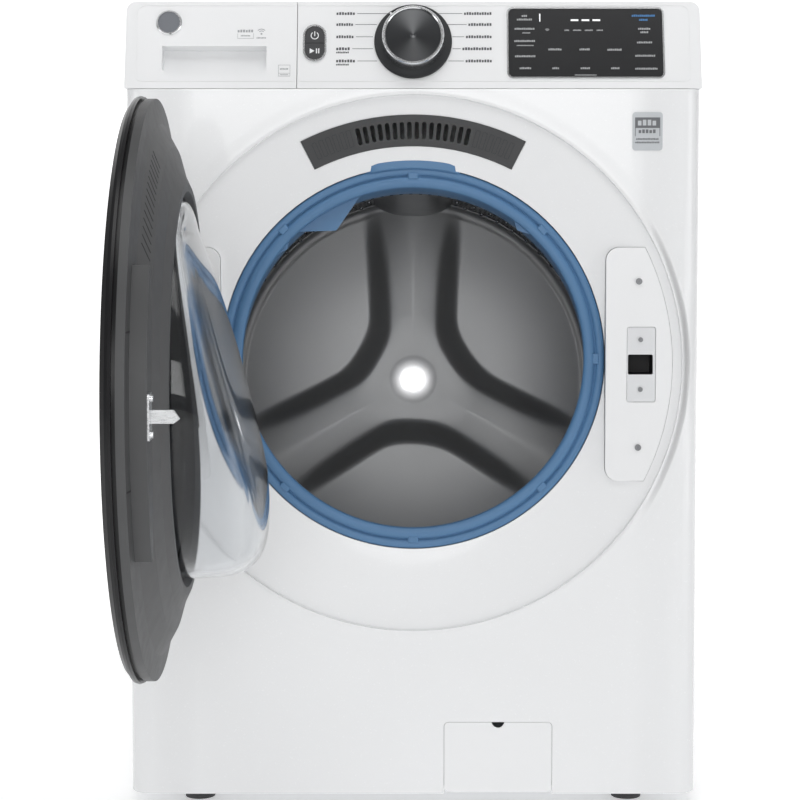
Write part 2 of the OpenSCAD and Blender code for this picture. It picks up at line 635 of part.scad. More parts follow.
module damper_cylinders() color("dimgray") for (s = [-1, 1]) translate([s * damper_x, damper_y, 0]) difference() {
    union() {
        translate([0, 0, foot_gap + 2.1]) cylinder(r = 22, h = 5);
        translate([0, 0, foot_gap + 2.1]) cylinder(r = 14, h = 120);
    }
    translate([0, 0, foot_gap + 12]) cylinder(r = 9.4, h = 130);
}
module damper_rods() color("silver") for (s = [-1, 1]) translate([s * damper_x, damper_y, 0]) {
    translate([0, 0, foot_gap + 60]) cylinder(r = 9, h = damper_top - foot_gap - 60);
    translate([0, 0, damper_top - 6]) cylinder(r = 12, h = 3);
}
drum_or = drum_r + 1;
module drum_shell() color("silver") at_tub() lathe_back([
    [gasket_r + 10, drum_mouth_w], [gasket_r + 13, drum_mouth_w - 1], [drum_or - 14, drum_mouth_w + 8],
    [drum_or, drum_mouth_w + 22], [drum_or, drum_back_w - 0.1], [drum_r, drum_back_w - 0.1],
    [drum_r, drum_mouth_w + 23], [drum_or - 15, drum_mouth_w + 9], [gasket_r + 13, drum_mouth_w],
    [gasket_r + 10, drum_mouth_w + 1]
]);
module arm(w0, w1, x0, x1, r0, r1) block(w0, w1) polygon([[-x0, r0], [x0, r0], [x1, r1], [-x1, r1]]);
module drum_back() color("darkgray") at_tub() {
    block(drum_back_w, drum_back_w + 3) circle(drum_or, $fn = 160);
    for (k = [0:2]) rotate([0, k * 120, 0]) arm(drum_back_w - 22, drum_back_w + 0.05, 26, 38, 40, drum_r - 12);
    block(drum_back_w - 22, drum_back_w + 0.05) circle(54);
}
module drum_spider() color("gray") at_tub() {
    for (k = [0:2]) rotate([0, k * 120, 0]) arm(drum_back_w + 3.1, drum_back_w + 24, 30, 16, 0, drum_r - 8);
    block(drum_back_w + 3.1, drum_back_w + 40) circle(48);
    block(drum_back_w + 40, tub_back_w + 82) circle(shaft_r);
}
module balance_ring() color("#d8dde2") at_tub() lathe_back([
    [gasket_r + 17, drum_mouth_w + 3.5], [drum_or - 22, drum_mouth_w + 11], [drum_or - 22, drum_mouth_w + 34],
    [gasket_r + 17, drum_mouth_w + 30]
]);
lifter_h = 24;
module lifters() color("#5b6066") at_tub() for (k = [0:2]) rotate([0, k * 120, 0]) difference() {
    arm(drum_mouth_w + 60, drum_back_w - 30, 20, 34, drum_r - lifter_h, drum_r + 3);
    ring_back(drum_r + 60, drum_r - 0.15, drum_mouth_w, drum_back_w);
}
module bearings() color("silver") at_tub() for (w = [tub_back_w + 2, tub_back_w + 26])
    ring_back(shaft_r + 12.9, shaft_r + loose, w, w + 12);
pulley_w = tub_back_w + 58;
module drum_pulley() color("silver") at_tub() difference() {
    union() {
        ring_back(pulley_r, pulley_r - 10, pulley_w, pulley_w + 14);
        block(pulley_w, pulley_w + 18) circle(30);
        for (k = [0:4]) rotate([0, k * 72, 0]) arm(pulley_w + 3, pulley_w + 9, 16, 10, 20, pulley_r - 4);
    }
    block(pulley_w - 1, pulley_w + 30) circle(shaft_r + 0.03);
}
module motor() color("dimgray") at_tub() translate([0, 0, -motor_drop]) {
    block(tub_back_w - 120, tub_back_w + 22) circle(64);
    block(tub_back_w + 22, tub_back_w + 40) circle(22);
    for (s = [-1, 1]) box_to(s * 60 - 7, s * 60 + 7, tub_back_w - 100, tub_back_w - 20, 18, 65.5);
}
module motor_pulley() color("silver") at_tub() translate([0, 0, -motor_drop]) {
    block(pulley_w, pulley_w + 14) circle(pinion_r);
    block(tub_back_w + 40.3, pulley_w) circle(7);
}
// Closed loop around both pulleys
module belt_outline(grow) hull() {
    circle(pulley_r + grow, $fn = 160);
    translate([0, -motor_drop]) circle(pinion_r + grow);
}
module drive_belt() color("#222222") at_tub() block(pulley_w + 1, pulley_w + 13) difference() {
    belt_outline(4.3);
    belt_outline(loose);
}

// ---- service parts ----
flap_axis_y = front_y + 7;
flap_axis_z = foot_gap + 7;
module service_flap() color("white") {
    difference() {
        translate([flap_x0 + flap_w / 2, front_y, foot_gap + 1 + flap_h / 2]) slab(-front_t, 0)
            rounded(flap_w, flap_h - 2, 5.5);
        translate([flap_x0 + flap_w / 2, front_y, foot_gap + 1 + flap_h]) slab(-9, 9) circle(8);
    }
    for (x = [flap_x0 + 3, flap_x0 + flap_w - 11]) {
        translate([x, flap_axis_y, flap_axis_z]) rotate([0, 90, 0]) cylinder(r = 4, h = 8);
        box_to(x, x + 8, front_y + front_t, flap_axis_y, flap_axis_z - 3, flap_axis_z + 3);
    }
    for (x = [flap_x0 - 5, flap_x0 + flap_w - 3])
        translate([x, flap_axis_y, flap_axis_z]) rotate([0, 90, 0]) cylinder(r = 2, h = 8);
}
pump_x = flap_x0 + flap_w / 2;
pump_z = foot_gap + 52;
module at_pump() translate([pump_x, front_y, pump_z]) children();
module drain_pump() color("dimgray") at_pump() {
    slab(-150, -42) difference() { circle(32); circle(26); }
    slab(-154, -150) circle(40);
    slab(-200, -154) circle(24);
    slab(-130, -110) translate([0, -40]) square([40, 19], center = true);
    slab(-104, -60) translate([-40, 6]) square([18, 22], center = true);
}
module filter_cap() color("#6a7076") at_pump() {
    slab(-140, -41.5) circle(25.4);
    slab(-41.5, -34) circle(31);
    slab(-34, -22) rounded(9, 46, 4);
}
module inlet_valves() color("whitesmoke") for (x = [port_x, port_x + 55]) translate([x, rear_y, port_z]) {
    slab(-14, 0) difference() { circle(spigot_r); circle(9); }
    slab(0, 52) difference() { circle(spigot_r - 1); circle(9); }
    slab(52, 70) circle(20);
    box_to(-11, 11, -66, -56, -36, -10);
}
module rear_ports() color("#3a3c40") {
    translate([-port_x, rear_y, port_z]) {
        slab(-14, 0) difference() { circle(spigot_r); circle(10); }
        slab(0, 40) difference() { circle(spigot_r - 1); circle(10); }
    }
    translate([-port_x + 70, rear_y, port_z]) slab(-4, 12) difference() { circle(10.5); circle(5); }
}

cabinet_wrap();
top_cover();
front_panel();
base_pan();
rear_panel();
rear_access_cover();
console_fascia();
display_frame();
display_glass();
button_bezel();
power_button();
start_button();
knob_skirt();
knob_ring();
knob_cap();
control_board();
drawer_front();
badge_ring();
badge_disc();
drawer_tray();
siphon_insert();
dispenser_housing();
plaque();
vent_grille();
latch_plate();
lock_plate();
door_lock();
lock_bolt();
hinge_cover();
hinge_bracket();
plate_screws();
door_cover();
door_bezel();
door_ring();
door_glass();
door_hinge_arm();
door_strike();
gasket();
tub_front();
tub_rear();
counterweights();
hanging_springs();
damper_cylinders();
damper_rods();
drum_shell();
drum_back();
drum_spider();
balance_ring();
lifters();
bearings();
drum_pulley();
motor();
motor_pulley();
drive_belt();
drain_pump();
filter_cap();
service_flap();
feet();
inlet_valves();
rear_ports();
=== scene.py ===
# %% [markdown]
# A front load washing machine, dressed for its portrait.
#
# The machine was built first as exact solids, one per real piece, each with its hinge, slide or spindle.
# This lesson loads those solids as a fixed frame and gives every one of them its finish. Where a solid is
# only a stand-in, such as the rubber door seal or the pressed drum, a surface worked out with numpy takes
# its place.

# %% Load the frame
import math

import bmesh
import bpy
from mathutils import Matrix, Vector
import numpy as np


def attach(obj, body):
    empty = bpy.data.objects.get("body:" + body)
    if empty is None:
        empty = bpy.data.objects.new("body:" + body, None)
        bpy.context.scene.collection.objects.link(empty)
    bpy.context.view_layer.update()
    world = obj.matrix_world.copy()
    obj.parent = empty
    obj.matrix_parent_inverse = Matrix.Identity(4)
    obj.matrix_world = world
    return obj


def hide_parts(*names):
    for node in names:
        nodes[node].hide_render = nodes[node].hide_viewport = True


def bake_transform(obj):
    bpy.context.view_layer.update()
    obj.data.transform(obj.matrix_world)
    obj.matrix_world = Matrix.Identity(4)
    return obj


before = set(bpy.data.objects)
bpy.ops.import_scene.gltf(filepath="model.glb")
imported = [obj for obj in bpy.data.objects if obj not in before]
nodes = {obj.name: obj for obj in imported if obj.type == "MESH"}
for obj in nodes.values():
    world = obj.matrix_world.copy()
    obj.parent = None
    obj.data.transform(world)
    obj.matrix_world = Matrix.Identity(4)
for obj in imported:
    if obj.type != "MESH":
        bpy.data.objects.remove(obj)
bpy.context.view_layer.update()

# %% [markdown]
# Every part of the washer is easiest to describe in its own place: the console leans back, the drum tilts
# down towards the rear, and the door hangs open on its hinge. So there is one small function for each place.
# It takes arrays of sideways, upward and outward distances and gives points in the shared frame. Writing the
# places once is safer than repeating angles in every piece.

# %% The places parts are measured from
FRONT_Y = -0.375
SEAT_Z, SEAL_Z, CONSOLE_Z = 0.557, 0.563, 0.898
CONSOLE_LEAN, DRUM_TILT, DOOR_SWING = math.radians(16), math.radians(8), math.radians(-89)
HINGE_X, HINGE_Y = -0.288, -0.404


def stack(x, y, z):
    """Joins three arrays of one shape into points."""
    return np.stack(np.broadcast_arrays(x, y, z), -1)


def on_panel(x, z, out):
    """Out is the distance in front of the panel, x and z are measured from the door seat's centre."""
    return stack(x, FRONT_Y - out, SEAT_Z + z)


def on_seal(x, z, out):
    """As on_panel, from the centre of the rubber seal, which sits a little higher."""
    return stack(x, FRONT_Y - out, SEAL_Z + z)


def on_console(x, up, out):
    """The console face leans back: up runs along it and out leaves it squarely."""
    c, s = math.cos(CONSOLE_LEAN), math.sin(CONSOLE_LEAN)
    return stack(x, FRONT_Y + up * s - out * c, CONSOLE_Z + up * c + out * s)


def in_tub(x, z, back):
    """Back runs along the drum's axis, which falls towards the rear."""
    c, s = math.cos(DRUM_TILT), math.sin(DRUM_TILT)
    return stack(x, FRONT_Y + 0.02 + back * c + z * s, SEAL_Z - back * s + z * c)


def on_door(x, z, out):
    """The place on the shut door, turned about the hinge to where it stands open."""
    c, s = math.cos(DOOR_SWING), math.sin(DOOR_SWING)
    dx, dy = x - HINGE_X, FRONT_Y - out - HINGE_Y
    return stack(HINGE_X + dx * c - dy * s, HINGE_Y + dx * s + dy * c, SEAT_Z + z)


print("console normal", np.round(on_console(0, 0, 1) - on_console(0, 0, 0), 3))

# %% [markdown]
# A surface is a grid of points. Neighbouring points make four-sided faces, and a grid that goes right round,
# such as a ring, joins its last row to its first. One function does this for all pieces, so that each piece
# below only has to say where its points are.

# %% From a grid of points to a mesh
def grid_faces(rows, cols, wrap_rows=False, wrap_cols=False, flip=False):
    """Each face joins point (i, j) to (i+1, j), (i+1, j+1) and (i, j+1)."""
    i, j = np.meshgrid(np.arange(rows - (not wrap_rows)), np.arange(cols - (not wrap_cols)), indexing="ij")
    i2, j2 = (i + 1) % rows, (j + 1) % cols
    quads = np.stack([i * cols + j, i2 * cols + j, i2 * cols + j2, i * cols + j2], -1).reshape(-1, 4)
    return quads[:, ::-1] if flip else quads


def tidy(mesh, closed):
    """Merges points closer than 0.02 mm, closing seams and poles, and turns a closed skin's faces outward."""
    work = bmesh.new()
    work.from_mesh(mesh)
    bmesh.ops.remove_doubles(work, verts=work.verts, dist=2e-5)
    if closed:
        bmesh.ops.recalc_face_normals(work, faces=work.faces)
    open_edges = sum(len(e.link_faces) != 2 for e in work.edges)
    work.to_mesh(mesh)
    work.free()
    return open_edges


def show(name, points, faces, finish, body=None, slot=None, replaces=(), smooth=True, uv=None, closed=True):
    """Makes a mesh object from points and faces, gives it its finish and hangs it on its moving group."""
    mesh = bpy.data.meshes.new(name)
    flat = np.asarray(points, float).reshape(-1, 3)
    mesh.from_pydata(flat.tolist(), [], np.asarray(faces).tolist())
    mesh.polygons.foreach_set("use_smooth", np.full(len(mesh.polygons), smooth))
    if uv is not None:
        layer = mesh.uv_layers.new(name="along")
        corner = np.zeros(len(mesh.loops), int)
        mesh.loops.foreach_get("vertex_index", corner)
        layer.data.foreach_set("uv", np.asarray(uv, float).reshape(-1, 2)[corner].ravel())
    open_edges = tidy(mesh, closed)
    mesh.materials.append(finish)
    piece = bpy.data.objects.new(name, mesh)
    bpy.context.scene.collection.objects.link(piece)
    if body:
        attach(piece, body)
    if replaces:
        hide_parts(*replaces)
    print(name, len(mesh.vertices), "points", len(mesh.polygons), "faces", open_edges, "open edges")
    return piece


def joined(parts):
    """Several (points, faces) pairs as one pair, with each set of faces numbered on from the last."""
    points, faces, start = [], [], 0
    for p, f in parts:
        p = np.asarray(p, float).reshape(-1, 3)
        points.append(p)
        faces += (np.asarray(f) + start).tolist()
        start += len(p)
    return np.concatenate(points), faces


# %% [markdown]
# Finishes are built from shader nodes. Writing the arithmetic of a pattern as a Python expression is easier
# to read than a list of links, so a small class wraps a node's output and lets plus, minus and times make
# Math nodes. Another method adds any other node from its type, its settings and its inputs.

# %% Shader arithmetic
class Wire:
    """One output in a material's node tree, with arithmetic."""

    def __init__(self, tree, socket):
        self.tree, self.socket = tree, socket

    def math(self, operation, *values):
        return add_node(self.tree, "ShaderNodeMath", {"operation": operation}, dict(enumerate(values)))

    def __add__(self, other):
        return self.math("ADD", self, other)

    def __sub__(self, other):
        return self.math("SUBTRACT", self, other)

    def __mul__(self, other):
        return self.math("MULTIPLY", self, other)

    def __truediv__(self, other):
        return self.math("DIVIDE", self, other)

    def __rsub__(self, other):
        return self.math("SUBTRACT", other, self)

    __radd__, __rmul__ = __add__, __mul__

    def step(self, low, high):
        """0 below low, 1 above high, and smooth between."""
        settings = {"interpolation_type": "SMOOTHSTEP"}
        inputs = {"Value": self, "From Min": low, "From Max": high, "To Min": 0.0, "To Max": 1.0}
        return add_node(self.tree, "ShaderNodeMapRange", settings, inputs, "Result")


def add_node(tree, kind, settings, inputs, output=0):
    """Adds a node: its settings first, then a value or a link for each named input."""
    node = tree.nodes.new(kind)
    for key, value in settings.items():
        setattr(node, key, value)
    for key, value in inputs.items():
        socket = node.inputs[key]
        if isinstance(value, Wire):
            tree.links.new(value.socket, socket)
        else:
            socket.default_value = value
    return Wire(tree, node.outputs[output])


def rgb(colour):
    return (*colour[:3], 1.0)


class Finish:
    """A material around one Principled shader, with a few pattern makers."""

    def __init__(self, name, colour, rough, **fixed):
        self.material = bpy.data.materials.new(name)
        self.material.use_nodes = True
        self.tree = self.material.node_tree
        self.shader = self.tree.nodes["Principled BSDF"]
        self.colour = rgb(colour)
        self.shader.inputs["Base Color"].default_value = self.colour
        self.shader.inputs["Roughness"].default_value = rough
        for key, value in fixed.items():
            self.shader.inputs[key.replace("_", " ")].default_value = value
        self.place = add_node(self.tree, "ShaderNodeTexCoord", {}, {}, "Object")

    def node(self, kind, settings=None, inputs=None, output=0):
        return add_node(self.tree, kind, settings or {}, inputs or {}, output)

    def axes(self, vector=None):
        """The three parts of a place as separate wires."""
        source = vector or self.place
        split = self.tree.nodes.new("ShaderNodeSeparateXYZ")
        self.tree.links.new(source.socket, split.inputs[0])
        return [Wire(self.tree, split.outputs[k]) for k in range(3)]

    def noise(self, scale, detail=3.0, stretch=(1, 1, 1), source=None):
        """A soft random pattern, with so many blobs to the metre."""
        place = self.node("ShaderNodeMapping", {}, {"Vector": source or self.place, "Scale": stretch})
        inputs = {"Vector": place, "Scale": scale, "Detail": detail}
        return self.node("ShaderNodeTexNoise", {}, inputs, "Fac")

    def mix(self, factor, low, high):
        """Runs from the low colour to the high one as the factor runs from 0 to 1."""
        node = self.tree.nodes.new("ShaderNodeMix")
        node.data_type = "RGBA"
        for key, value in (("Factor_Float", factor), ("A_Color", low), ("B_Color", high)):
            socket = next(s for s in node.inputs if s.identifier == key)
            if isinstance(value, Wire):
                self.tree.links.new(value.socket, socket)
            else:
                socket.default_value = value if key == "Factor_Float" else rgb(value)
        return Wire(self.tree, next(s for s in node.outputs if s.identifier == "Result_Color"))

    def set(self, socket, wire):
        self.tree.links.new(wire.socket, self.shader.inputs[socket])
        return self

    def bump(self, height, strength, distance=0.001):
        inputs = {"Height": height, "Strength": strength, "Distance": distance}
        return self.set("Normal", self.node("ShaderNodeBump", {}, inputs, "Normal"))


def shade(colour, factor):
    return tuple(min(1.0, c * factor) for c in colour[:3])


def moulded(name, colour, rough, grain=1400, depth=0.05, vary=0.05, **fixed):
    """Moulded or painted skin: fine grain in the bump, a little drift in colour and gloss."""
    f = Finish(name, colour, rough, **fixed)
    drift = f.noise(9, 4)
    f.set("Base Color", f.mix(drift, shade(colour, 1 - vary), shade(colour, 1 + vary)))
    f.set("Roughness", f.noise(60, 5) * (rough * 0.3) + rough * 0.85)
    return f.bump(f.noise(grain, 2), depth, 0.0003).material


def brushed(name, colour, rough, stretch, vary=0.12, metal=1.0, **fixed):
    """Metal with drawn-out scratches along one direction."""
    f = Finish(name, colour, rough, Metallic=metal, **fixed)
    lines = f.noise(900, 4, stretch)
    f.set("Base Color", f.mix(lines, shade(colour, 1 - vary), shade(colour, 1 + vary)))
    f.set("Roughness", lines * (rough * 0.5) + rough * 0.75)
    return f.bump(lines, 0.06, 0.0002).material


# %% [markdown]
# The cabinet is enamelled steel, which is smooth but never perfectly flat: it has a very slight orange peel.
# The console, the flap and the cover plates are moulded in a matching white plastic with a softer gloss.
# The door is black outside and grained dark grey inside, and the bright trims are thin plated plastic.

# %% Finishes for the cabinet, console and door
ENAMEL_WHITE = (0.84, 0.848, 0.857)
enamel = moulded("white_enamel", ENAMEL_WHITE, 0.26, grain=380, depth=0.03, vary=0.006, Coat_Weight=0.35)
white_plastic = moulded("white_moulding", (0.845, 0.852, 0.86), 0.36, grain=1600, depth=0.03, vary=0.008)
pale_plastic = moulded("pale_moulding", (0.72, 0.73, 0.745), 0.42, vary=0.02)
zinc = brushed("zinc_sheet", (0.62, 0.64, 0.66), 0.42, (1, 1, 0.05))
door_grey = moulded("door_inner_grey", (0.066, 0.067, 0.069), 0.5, grain=2200, depth=0.12)
grille_grey = moulded("grille_grey", (0.048, 0.049, 0.051), 0.5, grain=2000, depth=0.08)
black_gloss = moulded("black_gloss", (0.009, 0.009, 0.010), 0.3, grain=200, depth=0.01, vary=0.2,
                      Specular_IOR_Level=0.3)
black_matte = moulded("black_moulding", (0.018, 0.018, 0.020), 0.55)
window_black = moulded("smoked_window", (0.020, 0.0205, 0.022), 0.25, grain=300, depth=0.01, vary=0.1,
                       Specular_IOR_Level=0.35)
bright_trim = brushed("bright_trim", (0.80, 0.81, 0.82), 0.16, (1, 0.1, 0.1), vary=0.04)
key_grey = moulded("key_grey", (0.034, 0.035, 0.038), 0.4)
skirt_grey = moulded("skirt_grey", (0.024, 0.025, 0.027), 0.42, depth=0.03, Specular_IOR_Level=0.3)
badge_grey = moulded("badge_grey", (0.16, 0.17, 0.19), 0.35)
plaque_grey = brushed("plaque_grey", (0.46, 0.48, 0.50), 0.4, (0.05, 1, 1), vary=0.05, metal=0.4)
strike_steel = brushed("strike_steel", (0.74, 0.75, 0.76), 0.28, (0.1, 1, 1))
screw_steel = brushed("screw_steel", (0.26, 0.265, 0.275), 0.4, (1, 1, 1), metal=0.7)
dark_metal = moulded("coated_steel", (0.045, 0.047, 0.05), 0.42, Metallic=0.4)
tub_plastic = moulded("tub_moulding", (0.50, 0.52, 0.54), 0.55)
iron = moulded("cast_weight", (0.16, 0.16, 0.165), 0.8, grain=500, depth=0.4, vary=0.15)
wire_steel = brushed("spring_wire", (0.50, 0.51, 0.53), 0.35, (1, 1, 0.1))
alloy = brushed("cast_alloy", (0.52, 0.53, 0.54), 0.5, (1, 1, 1))
case_alloy = moulded("motor_case", (0.26, 0.27, 0.28), 0.5, vary=0.08, Metallic=0.6)
belt_black = moulded("belt_rubber", (0.022, 0.022, 0.022), 0.7, grain=700, depth=0.3)
pump_grey = moulded("pump_moulding", (0.13, 0.14, 0.15), 0.5)
foot_black = moulded("foot_moulding", (0.06, 0.06, 0.063), 0.6)
board_green = moulded("board_lacquer", (0.02, 0.11, 0.045), 0.35, vary=0.15)
insert_blue = moulded("insert_blue", (0.06, 0.16, 0.36), 0.4)
print("finishes:", len(bpy.data.materials))

# %% [markdown]
# The front sheet isn't quite flat. Outside the door's seat, a shallow bevel runs down each side between the
# flat middle and the rounded edge, and it catches the side lights. It rises about a centimetre over
# six, so the bump carries it.

# %% The bevelled front sheet
def bevelled_enamel(name, colour, rough):
    """Fall = 12 mm * smooth step of |x| from 268 to 332 mm, outside the seat, which has a low bead."""
    f = Finish(name, colour, rough, Coat_Weight=0.3)
    x, y, z = f.axes()
    side = x.math("ABSOLUTE", x).step(0.268, 0.332)
    low = z - SEAT_Z
    radius = x.math("SQRT", x * x + low * low)
    outside = radius.step(0.333, 0.345)
    bead = radius.step(0.333, 0.338) * (1.0 - radius.step(0.339, 0.356))
    drift = f.noise(380, 2)
    f.set("Base Color", f.mix(drift, shade(colour, 0.994), shade(colour, 1.006)))
    f.set("Roughness", drift * 0.02 + rough)
    return f.bump(bead * 0.0012 - side * outside * 0.0120, 1.0, 1.0).material


sheet_enamel = bevelled_enamel("front_sheet_enamel", ENAMEL_WHITE, 0.26)

# %% [markdown]
# The knob's face is turned aluminium. Fine circular lines catch the light in two opposite fans, the look of
# every brushed disc. A surface can't tell the light's direction from its grain here, so the fans are a
# painted highlight in the base colour, worked out from the angle round the knob's own axis, and stay with the
# knob as it turns.

# %% The turned face of the knob
def turned_face():
    """Painted highlight fans: the cosine of twice the angle round the knob. Lines: noise read along the
    radius only.
    """
    f = Finish("turned_knob_face", (0.2, 0.2, 0.21), 0.3, Metallic=1.0)
    x, y, z = f.axes()
    knob_y, knob_z = -0.35838, 0.95596
    c, s = math.cos(CONSOLE_LEAN), math.sin(CONSOLE_LEAN)
    up = (y - knob_y) * s + (z - knob_z) * c
    angle = up.math("ARCTAN2", up, x)
    twice = (angle - math.radians(94)) * 2.0
    fans = twice.math("COSINE", twice) * 0.5 + 0.5
    radius = up.math("SQRT", x * x + up * up)
    line_place = f.node("ShaderNodeCombineXYZ", {}, {0: radius * 60, 1: angle * 0.3})
    lines = f.noise(40, 3, source=line_place)
    painted_highlight = fans.math("POWER", fans, 2.2)
    # painted highlight: the base colour runs from dark to pale steel across the two fans
    base = f.mix(painted_highlight * 0.85 + lines * 0.15, (0.030, 0.031, 0.033), (0.125, 0.128, 0.132))
    f.set("Base Color", base)
    f.set("Roughness", lines * 0.15 + 0.26)
    return f.bump(lines, 0.05, 0.0002).material


knob_face = turned_face()

# %% [markdown]
# Each solid now takes its finish by name. A table keeps the pairs in one place, and anything without a
# finish would be printed.

# %% Dress the solids
dressing = {
    enamel: ["cabinet_wrap", "top_cover"],
    sheet_enamel: ["front_panel"],
    white_plastic: ["console_fascia", "drawer_front", "latch_plate", "hinge_cover", "service_flap"],
    pale_plastic: ["lock_plate", "drawer_tray", "dispenser_housing", "inlet_valves", "balance_ring"],
    zinc: ["base_pan", "rear_panel", "rear_access_cover"],
    door_grey: ["door_ring"],
    grille_grey: ["vent_grille"],
    black_gloss: ["door_cover", "door_bezel"],
    black_matte: ["door_lock", "rear_ports"],
    window_black: ["display_glass"],
    bright_trim: ["display_frame", "button_bezel", "knob_ring", "badge_ring"],
    key_grey: ["power_button", "start_button"],
    skirt_grey: ["knob_skirt"],
    knob_face: ["knob_cap"],
    badge_grey: ["badge_disc"],
    plaque_grey: ["plaque"],
    strike_steel: ["door_strike", "lock_bolt"],
    screw_steel: ["plate_screws", "bearings"],
    dark_metal: ["hinge_bracket", "door_hinge_arm"],
    tub_plastic: ["tub_front", "tub_rear"],
    iron: ["counterweights"],
    wire_steel: ["hanging_springs", "damper_rods"],
    alloy: ["drum_spider", "drum_pulley", "motor_pulley"],
    case_alloy: ["motor"],
    belt_black: ["drive_belt"],
    pump_grey: ["drain_pump", "filter_cap", "lifters"],
    foot_black: ["feet", "damper_cylinders"],
    board_green: ["control_board"],
    insert_blue: ["siphon_insert"],
}
for material, names in dressing.items():
    for name in names:
        nodes[name].data.materials.clear()
        nodes[name].data.materials.append(material)
dressed = {n for names in dressing.values() for n in names}
print("solids still undressed:", sorted(set(nodes) - dressed))

# %% [markdown]
# The door seal is a deep rubber bellows. Its front lip is a flat ring with a narrow groove where the
# retaining spring sits, and small tabs. Behind the lip it runs back in a soft fold to the tub's neck.
# It is one profile carried round the door opening. The front follows the cabinet and the back follows the
# tub, so each profile point also says how far it has gone from one to the other.

# %% The door seal
blue = Finish("blue_rubber", (0.088, 0.208, 0.385), 0.42)
tint = blue.noise(14, 3)
blue.set("Base Color", blue.mix(tint, (0.078, 0.188, 0.352), (0.092, 0.212, 0.388)))
blue.set("Roughness", blue.noise(120, 4) * 0.12 + 0.38)
blue.bump(blue.noise(900, 2), 0.08, 0.0004)
SEAL_PROFILE = np.array([
    # radius, depth behind the panel, share of the tub's place
    (0.2300, 0.0300, 0.0), (0.2385, 0.0290, 0.0), (0.2390, 0.0215, 0.0), (0.2380, 0.0192, 0.0),
    (0.2345, 0.0184, 0.0), (0.2305, 0.0186, 0.0), (0.2292, 0.0200, 0.0), (0.2285, 0.0222, 0.0),
    (0.2272, 0.0222, 0.0), (0.2262, 0.0198, 0.0), (0.2245, 0.0180, 0.0), (0.2200, 0.0176, 0.0),
    (0.2158, 0.0180, 0.0), (0.2135, 0.0200, 0.0), (0.2130, 0.0240, 0.0), (0.2140, 0.0340, 0.05),
    (0.2165, 0.0420, 0.2), (0.2215, 0.0500, 0.4), (0.2230, 0.0580, 0.55), (0.2200, 0.0700, 0.7),
    (0.2190, 0.0860, 0.85), (0.2200, 0.1050, 1.0), (0.2235, 0.1200, 1.0), (0.2290, 0.1230, 1.0),
    (0.2310, 0.1180, 1.0), (0.2330, 0.1000, 0.9), (0.2345, 0.0700, 0.6), (0.2340, 0.0500, 0.3),
    (0.2320, 0.0380, 0.1),
])


def seal_surface(turns=192):
    """Ring point = (1 - share) * place on the cabinet + share * place in the tub, at the same angle."""
    a = np.linspace(0, 2 * math.pi, turns, endpoint=False)[:, None]
    r, deep, share = (SEAL_PROFILE[None, :, k] for k in range(3))
    r = r + 0 * a
    front = on_seal(r * np.cos(a), r * np.sin(a), -deep + 0 * a)
    back = in_tub(r * np.cos(a), r * np.sin(a), deep - 0.02 + 0 * a)
    s = (share + 0 * a)[..., None]
    return front * (1 - s) + back * s


seal_points = seal_surface()
seal = show("door_seal", seal_points, grid_faces(*seal_points.shape[:2], True, True), blue.material,
            slot="blue_rubber")
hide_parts("gasket")
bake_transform(seal)

# %% [markdown]
# Small moulded features sit on the lip: eight tabs that bridge the groove, two drip nozzles at the top and a
# longer blank tab above. Each is a soft pillow, a patch of ring whose height rises from its own edge.

# %% Tabs and nozzles on the seal
def ring_pillow(angle, half_angle, r0, r1, deep, height, power=4):
    """A patch of ring lifted by height * (1 - |u|^power) * (1 - |v|^power), with its edge on the ring."""
    u, v = np.meshgrid(np.linspace(-1, 1, 15), np.linspace(-1, 1, 11), indexing="ij")
    lift = height * (1 - np.abs(u) ** power) * (1 - np.abs(v) ** power)
    a = math.radians(angle) + math.radians(half_angle) * u
    r = (r0 + r1) / 2 + (r1 - r0) / 2 * v
    skin = on_seal(r * np.cos(a), r * np.sin(a), lift - deep)
    back = on_seal(r * np.cos(a), r * np.sin(a), -deep - 0.001 + 0 * lift)
    n = u.size
    faces = np.concatenate([grid_faces(15, 11), grid_faces(15, 11, flip=True) + n])
    edge = np.concatenate([np.arange(11), np.arange(1, 15) * 11 + 10, 14 * 11 + np.arange(9, -1, -1),
                           np.arange(13, 0, -1) * 11])
    after = np.roll(edge, -1)
    rim = np.stack([edge, edge + n, after + n, after], -1)
    return np.concatenate([skin.reshape(-1, 3), back.reshape(-1, 3)]), np.concatenate([faces, rim])


tabs = [ring_pillow(k * 45, 1.75, 0.2235, 0.2322, 0.0205, 0.0032, 14) for k in range(8)]
tabs.append(ring_pillow(90, 14.2, 0.2365, 0.2492, 0.0195, 0.0035, 16))
show("seal_tabs", *joined(tabs), blue.material, "cabinet", "blue_rubber")

# %% [markdown]
# The nozzles spray water into the drum. They are plain straight-edged wedges of the same rubber, hanging from
# the upper half of the seal just behind its lip. Each is a fan of points between the seal's wall and a lower
# tip, closed all round.

# %% Spray nozzles
def straight_edge(a, a0, r0, a1, r1):
    """Radius at angle a of the straight line between two points given by angle and radius."""
    x0, z0, x1, z1 = r0 * math.cos(a0), r0 * math.sin(a0), r1 * math.cos(a1), r1 * math.sin(a1)
    nx, nz = z1 - z0, x0 - x1
    return (nx * x0 + nz * z0) / (nx * np.cos(a) + nz * np.sin(a))


